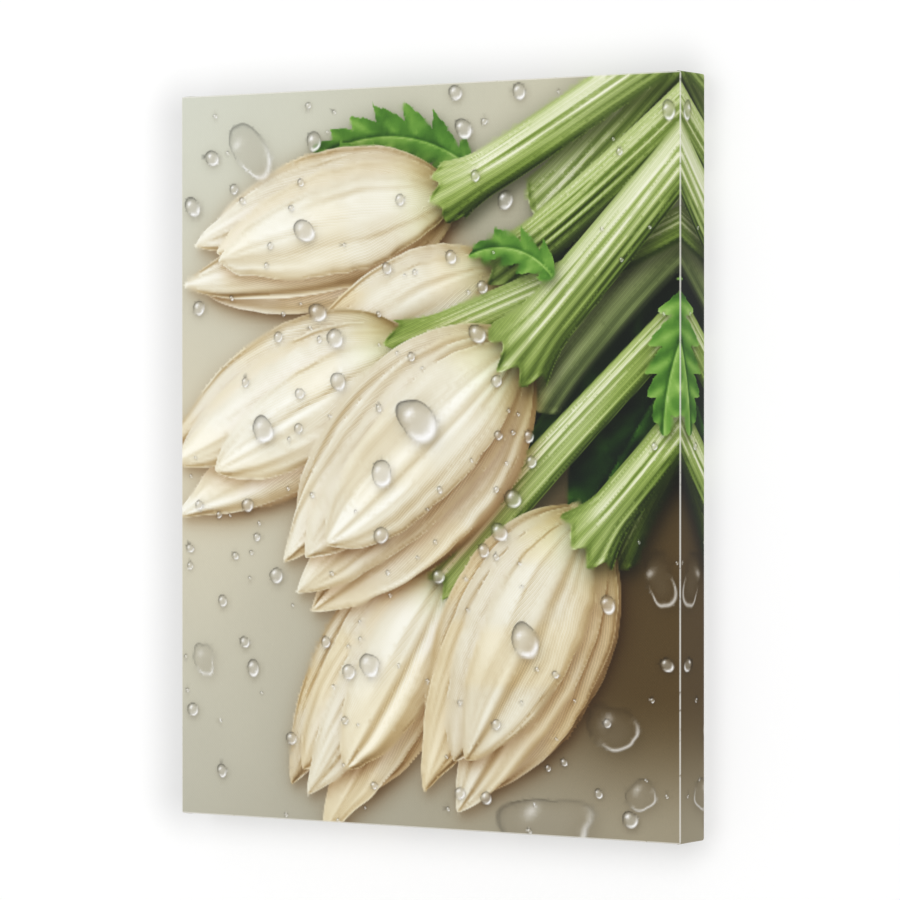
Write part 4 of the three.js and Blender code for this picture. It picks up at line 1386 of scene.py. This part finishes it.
# %% The bent wire
staple_inputs = {"Crown": CROWN, "Leg": LEG, "Wire": WIRE, "Breadth": BREADTH, "Tilt": 0.05, "Seed": 4}
tree, given, result = new_tree("staples", staple_inputs)
crown_less_wire = math_node(tree, "SUBTRACT", given.outputs["Crown"], given.outputs["Wire"])
half_crown = math_node(tree, "MULTIPLY", crown_less_wire, 0.5)
crown_y = math_node(tree, "MULTIPLY", given.outputs["Wire"], -0.5)
foot_y = math_node(tree, "MULTIPLY", given.outputs["Leg"], -1.0)
corners_of_wire = []
for hand, height in ((-1.0, foot_y), (-1.0, crown_y), (1.0, crown_y), (1.0, foot_y)):
    x = math_node(tree, "MULTIPLY", half_crown, hand)
    corner = add_node(tree, "ShaderNodeCombineXYZ", links={"X": x, "Y": height})
    corners_of_wire.append(corner.outputs[0])
join = add_node(tree, "GeometryNodeJoinGeometry")
for start, end in reversed(list(zip(corners_of_wire, corners_of_wire[1:]))):
    straight = add_node(tree, "GeometryNodeCurvePrimitiveLine", links={"Start": start, "End": end})
    tree.links.new(straight.outputs[0], join.inputs[0])
edges = add_node(tree, "GeometryNodeCurveToMesh", links={"Curve": join.outputs[0]})
welded = add_node(tree, "GeometryNodeMergeByDistance", values={"Distance": 0.05 * MM},
                  links={"Geometry": edges.outputs[0]})
path = add_node(tree, "GeometryNodeMeshToCurve", links={"Mesh": welded.outputs[0]})
rounded = add_node(tree, "GeometryNodeFilletCurve", {"mode": "POLY"}, {"Count": 3, "Radius": 0.6 * MM},
                   {"Curve": path.outputs[0]})
section = add_node(tree, "GeometryNodeCurvePrimitiveQuadrilateral", links={
    "Width": given.outputs["Wire"], "Height": given.outputs["Breadth"]})
soft_section = add_node(tree, "GeometryNodeFilletCurve", {"mode": "POLY"},
                        {"Count": 2, "Radius": 0.18 * MM}, {"Curve": section.outputs[0]})
wire = add_node(tree, "GeometryNodeCurveToMesh", values={"Fill Caps": True},
                links={"Curve": rounded.outputs[0], "Profile Curve": soft_section.outputs[0]})
print(f"wire through {len(corners_of_wire)} points")

# %% A staple on every point
turn = add_node(tree, "GeometryNodeInputNamedAttribute", {"data_type": "FLOAT"}, {"Name": "turn"})
least_tilt = math_node(tree, "MULTIPLY", given.outputs["Tilt"], -1.0)
tilt = add_node(tree, "FunctionNodeRandomValue", {"data_type": "FLOAT"},
                links={2: least_tilt, 3: given.outputs["Tilt"], "Seed": given.outputs["Seed"]})
angle = math_node(tree, "ADD", turn.outputs[0], tilt.outputs[1])
spin = add_node(tree, "ShaderNodeCombineXYZ", links={"Y": angle})
copies = add_node(tree, "GeometryNodeInstanceOnPoints", links={
    "Points": given.outputs["Geometry"], "Instance": wire.outputs[0], "Rotation": spin.outputs[0]})
real = add_node(tree, "GeometryNodeRealizeInstances", links={0: copies.outputs[0]})
painted = add_node(tree, "GeometryNodeSetMaterial", values={"Material": steel_wire},
                   links={0: real.outputs[0]})
tree.links.new(painted.outputs[0], result.inputs[0])
staples = run_tree("steel_staples", points, tree, staple_inputs)
finish_piece(staples, steel_wire, "steel_wire", *staple_nodes)
print(f"{staples.name}: {len(staples.data.polygons)} faces for {len(staple_nodes)} staples")

# %% [markdown]
# ## Loose threads
# Cut cotton frays. Short ends of thread hang out along the cut edge of the flap and lie on the wood.
# This too is a thing repeated along a path. Four lines run along the flap's edge and each knows which
# way is inwards, as a turn. The tree spreads points along them, sets a thin thread on most of them,
# each turned and scaled at random, makes them real and then lets a noise field bend them.

# %% The cut edges
FLAP_RUN = FLAP * MM - 0.3 * MM  # the threads start a little inside the cut edge
x_edge = canvas_high[0] - FLAP_RUN
z_edges = (canvas_low[2] + FLAP_RUN, canvas_high[2] - FLAP_RUN)
thread_y = canvas_high[1] - 0.35 * MM  # about the middle of the cloth
cut_edges = bpy.data.meshes.new("cut_edges")
line_ends = [(-x_edge, z_edges[1]), (x_edge, z_edges[1]), (-x_edge, z_edges[0]), (x_edge, z_edges[0])]
line_pairs = [(0, 1), (2, 3), (0, 2), (1, 3)]
inward_turns = [0.0, math.pi, -math.pi / 2, math.pi / 2]
corners = [(line_ends[k][0], thread_y, line_ends[k][1]) for pair in line_pairs for k in pair]
cut_edges.from_pydata(corners, [(0, 1), (2, 3), (4, 5), (6, 7)], [])
cut_edges.attributes.new("turn", "FLOAT", "POINT").data.foreach_set("value", np.repeat(inward_turns, 2))
print(f"{len(line_pairs)} cut edges")

# %% One thread, and where it goes
thread_inputs = {"Spacing": 2.4 * MM, "Length": 5.0 * MM, "Thickness": 0.17 * MM, "Seed": 8}
tree, given, result = new_tree("threads", thread_inputs)
paths = add_node(tree, "GeometryNodeMeshToCurve", links={"Mesh": given.outputs["Geometry"]})
spread = add_node(tree, "GeometryNodeResampleCurve", {"mode": "LENGTH"},
                  links={"Curve": paths.outputs[0], "Length": given.outputs["Spacing"]})
spots = add_node(tree, "GeometryNodeCurveToPoints", {"mode": "EVALUATED"},
                 links={"Curve": spread.outputs[0]})
fall = math_node(tree, "MULTIPLY", given.outputs["Length"], -1.0)
lower_end = add_node(tree, "ShaderNodeCombineXYZ", links={"Z": fall})
straight = add_node(tree, "GeometryNodeCurvePrimitiveLine", links={"End": lower_end.outputs[0]})
strand = add_node(tree, "GeometryNodeResampleCurve", values={"Count": 7},
                  links={"Curve": straight.outputs[0]})
section = add_node(tree, "GeometryNodeCurvePrimitiveCircle", values={"Resolution": 5},
                   links={"Radius": given.outputs["Thickness"]})
thread = add_node(tree, "GeometryNodeCurveToMesh", values={"Fill Caps": True},
                  links={"Curve": strand.outputs[0], "Profile Curve": section.outputs[0]})
present = add_node(tree, "FunctionNodeRandomValue", {"data_type": "BOOLEAN"}, {"Probability": 0.8},
                   {"Seed": given.outputs["Seed"]})
lean = add_node(tree, "FunctionNodeRandomValue", {"data_type": "FLOAT"}, {2: -0.9, 3: 0.9},
                {"Seed": given.outputs["Seed"]})
turn = add_node(tree, "GeometryNodeInputNamedAttribute", {"data_type": "FLOAT"}, {"Name": "turn"})
spin = add_node(tree, "ShaderNodeCombineXYZ", links={
    "Y": math_node(tree, "ADD", turn.outputs[0], lean.outputs[1])})
size = add_node(tree, "FunctionNodeRandomValue", {"data_type": "FLOAT"}, {2: 0.35, 3: 1.25},
                {"Seed": math_node(tree, "ADD", given.outputs["Seed"], 1.0)})
stretch = add_node(tree, "ShaderNodeCombineXYZ", values={"X": 1.0, "Y": 1.0}, links={"Z": size.outputs[1]})
copies = add_node(tree, "GeometryNodeInstanceOnPoints", links={
    "Points": spots.outputs["Points"], "Selection": present.outputs[3], "Instance": thread.outputs[0],
    "Rotation": spin.outputs[0], "Scale": stretch.outputs[0]})
real = add_node(tree, "GeometryNodeRealizeInstances", links={0: copies.outputs[0]})
wander = add_node(tree, "ShaderNodeTexNoise", values={"Scale": 420.0, "Detail": 1.0})
shift = add_node(tree, "ShaderNodeVectorMath", {"operation": "SUBTRACT"}, {1: (0.5, 0.5, 0.5)},
                 {0: wander.outputs["Color"]})
flat_shift = add_node(tree, "ShaderNodeVectorMath", {"operation": "MULTIPLY"},
                      {1: (2.2 * MM, 0.25 * MM, 2.2 * MM)}, {0: shift.outputs[0]})
bent = add_node(tree, "GeometryNodeSetPosition",
                links={"Geometry": real.outputs[0], "Offset": flat_shift.outputs[0]})
painted = add_node(tree, "GeometryNodeSetMaterial", links={0: bent.outputs[0]})
print(f"thread tree of {len(tree.nodes)} nodes")

# %% [markdown]
# ## Cotton thread
# A loose end is a few twisted fibres of undyed cotton: cream, quite matt, about 0.3 mm thick, with the
# soft glow of stray hairs at its edges. Fine noise, about a millimetre apart, gives it its uneven tone.

# %% Cotton thread
cotton, thread_tree, shader = new_material("loose_cotton_thread")
shader.inputs["Roughness"].default_value = 0.9
shader.inputs["Sheen Weight"].default_value = 0.3
where = add_node(thread_tree, "ShaderNodeTexCoord").outputs["Object"]
fuzz = add_node(thread_tree, "ShaderNodeTexNoise", values={"Scale": 1200.0, "Detail": 2.0},
                links={"Vector": where})
tone = set_ramp(add_node(thread_tree, "ShaderNodeValToRGB", links={"Fac": fuzz.outputs["Fac"]}),
                [(0.3, "D6CBB2"), (0.7, "F1EADA")])
thread_tree.links.new(tone.outputs["Color"], shader.inputs["Base Color"])
painted.inputs["Material"].default_value = cotton
tree.links.new(painted.outputs[0], result.inputs[0])
threads = run_tree("loose_threads", cut_edges, tree, thread_inputs)
finish_piece(threads, cotton, "printed_canvas")
print(f"{threads.name}: {len(threads.data.polygons)} faces")

# %% [markdown]
# ## The hanger
# A sawtooth hanger is a strip of thin steel, pressed up in the middle so that its teeth stand off the
# wood. Zinc plating makes it bright blue-white with the faint crystal pattern called spangle. It is a
# metal, so its colour is the colour of its reflection, and its roughness about 0.3. The spangle is 2.4
# mm across, and fine scratches run along the strip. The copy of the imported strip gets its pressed
# edges eased by about a tenth of a millimetre.

# %% Zinc-plated steel
zinc, tree, shader = new_material("zinc_plated_steel")
shader.inputs["Metallic"].default_value = 1.0
where = add_node(tree, "ShaderNodeTexCoord").outputs["Object"]
spangle = add_node(tree, "ShaderNodeTexVoronoi", values={"Scale": 420.0}, links={"Vector": where})
brushed = add_node(tree, "ShaderNodeMapping", values={"Scale": (60.0, 900.0, 900.0)},
                   links={"Vector": where})
scratches = add_node(tree, "ShaderNodeTexNoise", values={"Scale": 1.0, "Detail": 3.0},
                     links={"Vector": brushed.outputs[0]})
mixed = math_node(tree, "MULTIPLY_ADD", spangle.outputs["Color"], 0.35,
                  math_node(tree, "MULTIPLY", scratches.outputs["Fac"], 0.65))
plating = set_ramp(add_node(tree, "ShaderNodeValToRGB", links={"Fac": mixed}),
                   [(0.25, "B4B9BF"), (0.75, "DADEE2")])
tree.links.new(plating.outputs["Color"], shader.inputs["Base Color"])
rough = add_node(tree, "ShaderNodeMapRange", values={"To Min": 0.22, "To Max": 0.44},
                 links={"Value": mixed})
tree.links.new(rough.outputs[0], shader.inputs["Roughness"])
relief = add_node(tree, "ShaderNodeBump", values={"Strength": 0.15, "Distance": 0.03 * MM},
                  links={"Height": scratches.outputs["Fac"]})
tree.links.new(relief.outputs[0], shader.inputs["Normal"])
PRESSED_EDGE = 0.12 * MM
hanger = clean_copy("sawtooth_hanger", "hanger_plate", PRESSED_EDGE, long_edge=1.5 * MM)
finish_piece(hanger, zinc, "zinc_plated_steel", "hanger_plate")
print(f"{hanger.name}: {len(hanger.data.polygons)} faces")

# %% [markdown]
# ## Turned pieces
# The nails and the rubber bumpers are round, so each is a half outline spun about its own axis. The
# outline is a list of (radius, depth) in millimetres, from the wall side into the wood. The nails are
# brass with low domes, warm yellow and a little tarnished, roughness about 0.35. The bumpers are matt
# moulded rubber, nearly black and dusty, roughness 0.8, and keep the frame off the wall. Tarnish and
# dust lie in spots about a millimetre across.

# %% Turning an outline
SPIN_STEPS = 40


def turned_piece(name, node, outline):
    """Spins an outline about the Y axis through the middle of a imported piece."""
    low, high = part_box(node)
    centre = ((low[0] + high[0]) / 2, high[1], (low[2] + high[2]) / 2)
    form = bmesh.new()
    points = [form.verts.new((centre[0] + radius * MM, centre[1] - depth * MM, centre[2]))
              for radius, depth in outline]
    edges = [form.edges.new(pair) for pair in zip(points, points[1:])]
    bmesh.ops.spin(form, geom=points + edges, cent=centre, axis=(0, 1, 0), angle=2 * math.pi,
                   steps=SPIN_STEPS, use_merge=True)
    bmesh.ops.remove_doubles(form, verts=form.verts, dist=1e-6)
    bmesh.ops.recalc_face_normals(form, faces=form.faces)
    mesh = bpy.data.meshes.new(name)
    form.to_mesh(mesh)
    form.free()
    mesh.shade_smooth()
    mesh.set_sharp_from_angle(angle=math.radians(50))
    piece = bpy.data.objects.new(name, mesh)
    bpy.context.scene.collection.objects.link(piece)
    return piece


# %% Tarnished brass
brass, tree, shader = new_material("tarnished_brass")
shader.inputs["Metallic"].default_value = 1.0
where = add_node(tree, "ShaderNodeTexCoord").outputs["Object"]
stains = add_node(tree, "ShaderNodeTexNoise", values={"Scale": 900.0, "Detail": 4.0},
                  links={"Vector": where})
metal = set_ramp(add_node(tree, "ShaderNodeValToRGB", links={"Fac": stains.outputs["Fac"]}),
                 [(0.35, "A8813C"), (0.65, "DDBB6A")])
tree.links.new(metal.outputs["Color"], shader.inputs["Base Color"])
rough = add_node(tree, "ShaderNodeMapRange", values={"To Min": 0.24, "To Max": 0.46},
                 links={"Value": stains.outputs["Fac"]})
tree.links.new(rough.outputs[0], shader.inputs["Roughness"])
print(f"{brass.name}: {len(tree.nodes)} nodes")

# %% Moulded rubber
rubber, tree, shader = new_material("moulded_rubber")
shader.inputs["Roughness"].default_value = 0.8
shader.inputs["IOR"].default_value = 1.52
where = add_node(tree, "ShaderNodeTexCoord").outputs["Object"]
dust = add_node(tree, "ShaderNodeTexNoise", values={"Scale": 700.0, "Detail": 4.0}, links={"Vector": where})
matt = set_ramp(add_node(tree, "ShaderNodeValToRGB", links={"Fac": dust.outputs["Fac"]}),
                [(0.40, "262628"), (0.68, "434345")])
tree.links.new(matt.outputs["Color"], shader.inputs["Base Color"])
relief = add_node(tree, "ShaderNodeBump", values={"Strength": 0.3, "Distance": 0.05 * MM},
                  links={"Height": dust.outputs["Fac"]})
tree.links.new(relief.outputs[0], shader.inputs["Normal"])
print(f"{rubber.name}: {len(tree.nodes)} nodes")

# %% Nails and bumpers
NAIL_OUTLINE = [(0, 0), (0.7, 0.04), (1.3, 0.17), (1.75, 0.36), (2.0, 0.58), (2.1, 0.8), (0.8, 0.8),
                (0.8, 10.8), (0, 12.8)]
BUMPER_OUTLINE = [(0, 0.15), (2.8, 0.08), (3.4, 0), (4.1, 0.14), (4.6, 0.45), (4.88, 0.9), (5.0, 1.5),
                  (5.0, 3.1), (0, 3.1)]
for side in ("left", "right"):
    nail = turned_piece(f"brass_nail_{side}", f"hanger_nail_{side}", NAIL_OUTLINE)
    finish_piece(nail, brass, "brass", f"hanger_nail_{side}")
    bumper = turned_piece(f"rubber_bumper_{side}", f"wall_bumper_{side}", BUMPER_OUTLINE)
    finish_piece(bumper, rubber, "rubber", f"wall_bumper_{side}")
    print(f"{side}: nail {len(nail.data.polygons)} faces, bumper {len(bumper.data.polygons)} faces")

# %% [markdown]
# ## The setting
# The print hangs on a plain white wall, a hand's breadth above a pale floor. The soft grey that
# gathers round a thin box on a wall is what makes the print stand off it. The lamp gives a part of
# that shade. The wall's own material gives the rest, by the distance from the box, because a surround
# as even as this one leaves hardly any shadow. The wall shows only to the camera and only from the
# room's side, so it takes no light from the back of the frame. The light is a bright, even surround
# and one large soft lamp at the upper left.

# %% Wall, floor, light
scene = bpy.context.scene
scene.view_settings.view_transform = "Standard"
world = bpy.data.worlds.new("bright_surround")
scene.world = world
world.use_nodes = True
WORLD_STRENGTH = 0.86
world.node_tree.nodes["Background"].inputs["Color"].default_value = (1, 1, 1, 1)
world.node_tree.nodes["Background"].inputs["Strength"].default_value = WORLD_STRENGTH


def plane(name, corners, material):
    """A flat surface of the setting, which is no part of the object."""
    surface = bpy.data.meshes.new(name)
    surface.from_pydata(corners, [], [(0, 1, 2, 3)])
    surface.materials.append(material)
    thing = bpy.data.objects.new(name, surface)
    scene.collection.objects.link(thing)
    return thing


ROOM = 4.0
FLOOR_DROP = 0.10
floor_z = cad_box[0][2] - FLOOR_DROP
pale, tree, shader = new_material("pale_floor")
shader.inputs["Base Color"].default_value = ink("FAFAFA")
shader.inputs["Roughness"].default_value = 0.9
turn_order = [(-1, -1), (1, -1), (1, 1), (-1, 1)]
floor_corners = [(hand_x * ROOM, hand_y * ROOM, floor_z) for hand_x, hand_y in turn_order]
plane("floor", floor_corners, pale)
print(f"floor {FLOOR_DROP * 1000:.0f} mm below the print")

# %% The wall and the soft shade round the box
WALL_GLOW = 0.69  # the wall's own light, out of the shade
SHADE_DEPTH = 0.235  # how much of it the shade takes away next to the box
SHADE_REACH = 47 * MM
SHADE_INSET = 14 * MM  # the shade starts this far behind the top and bottom edges
LAMP_INSET = 25 * MM  # and further behind the right edge, where the lamp's own shadow falls
AZIMUTH = math.radians(32.72)  # the camera's, from straight in front towards the right
white, tree, shader = new_material("white_wall")
shader.inputs["Base Color"].default_value = ink("9A9A9A")
shader.inputs["Emission Color"].default_value = ink("FFFFFF")
shader.inputs["Roughness"].default_value = 1.0
shader.inputs["Specular IOR Level"].default_value = 0.0
where = add_node(tree, "ShaderNodeTexCoord").outputs["Object"]
parts = add_node(tree, "ShaderNodeSeparateXYZ", links={0: where})
hidden = DEPTH * MM * math.tan(AZIMUTH)  # the width of wall that the box hides on its left
shade_x = (canvas_low[0] - hidden, canvas_high[0] - LAMP_INSET)
shade_z = (canvas_low[2] + SHADE_INSET, canvas_high[2] - SHADE_INSET)
past_sides = []
for part, (low, high) in (("X", shade_x), ("Z", shade_z)):
    from_middle = math_node(tree, "SUBTRACT", parts.outputs[part], (low + high) / 2)
    offset = math_node(tree, "ABSOLUTE", from_middle)
    past = math_node(tree, "MAXIMUM", math_node(tree, "SUBTRACT", offset, (high - low) / 2), 0.0)
    past_sides.append(math_node(tree, "MULTIPLY", past, past))
distance = math_node(tree, "SQRT", math_node(tree, "ADD", *past_sides))
shade = band(tree, distance, 0.0, SHADE_REACH)
glow = math_node(tree, "MULTIPLY_ADD", shade.outputs[0], SHADE_DEPTH, WALL_GLOW - SHADE_DEPTH)
tree.links.new(glow, shader.inputs["Emission Strength"])
side = add_node(tree, "ShaderNodeNewGeometry").outputs["Backfacing"]
clear = add_node(tree, "ShaderNodeBsdfTransparent")
either = add_node(tree, "ShaderNodeMixShader", links={0: side, 1: shader.outputs[0], 2: clear.outputs[0]})
tree.links.new(either.outputs[0], tree.nodes["Material Output"].inputs["Surface"])
wall = plane("wall", [(-ROOM, 0, floor_z), (ROOM, 0, floor_z), (ROOM, 0, ROOM), (-ROOM, 0, ROOM)], white)
wall.visible_diffuse = False
wall.visible_glossy = False
wall.visible_transmission = False
wall.visible_shadow = False
print(f"the box hides {hidden / MM:.1f} mm of the wall on its left")


# %% The lamp
def soft_lamp(name, place, target, size, power):
    lamp = bpy.data.lights.new(name, "AREA")
    lamp.shape = "DISK"
    lamp.size = size
    lamp.energy = power
    thing = bpy.data.objects.new(name, lamp)
    thing.location = place
    thing.rotation_euler = (Vector(target) - Vector(place)).to_track_quat("-Z", "Y").to_euler()
    thing.visible_camera = False
    scene.collection.objects.link(thing)


LAMP_PLACE = (-0.5, -3.2, 0.4)
LAMP_SIZE = 1.6
LAMP_POWER = 18.0
canvas_middle = (0.0, canvas_low[1], middle_z * MM)
soft_lamp("key_lamp", LAMP_PLACE, canvas_middle, LAMP_SIZE, LAMP_POWER)
print(f"lamp {LAMP_SIZE} m wide, at {LAMP_PLACE}")

# %% [markdown]
# ## The camera
# A long lens, turned 32.7 degrees from straight in front towards the right, so that the right side
# shows. It stands a little above the middle and looks almost level. Its place is worked out from the
# near vertical edge of the canvas, its distance and the view direction.

# %% Camera
LENS = 163.8
PITCH_DOWN = math.radians(0.389)
EDGE_DISTANCE = 2.6447  # from the camera to the near edge, along the view
EDGE_ASIDE = 0.1489  # how far right of the view's middle the near edge stands
CAMERA_ABOVE_BOTTOM = 0.2730  # metres above the canvas's lower edge
view = Vector((-math.sin(AZIMUTH), math.cos(AZIMUTH), 0))
right = Vector((math.cos(AZIMUTH), math.sin(AZIMUTH), 0))
near_edge_place = Vector((canvas_high[0], canvas_low[1], 0))
place = near_edge_place - view * EDGE_DISTANCE - right * EDGE_ASIDE
place.z = canvas_low[2] + CAMERA_ABOVE_BOTTOM
camera = bpy.data.objects.new("camera", bpy.data.cameras.new("camera"))
camera.data.lens = LENS
camera.data.sensor_width = 36.0
camera.data.clip_end = 50.0
camera.location = place
camera.rotation_euler = (math.pi / 2 - PITCH_DOWN, 0, AZIMUTH)
scene.collection.objects.link(camera)
scene.camera = camera
print(f"camera at {tuple(round(c, 3) for c in place)}")
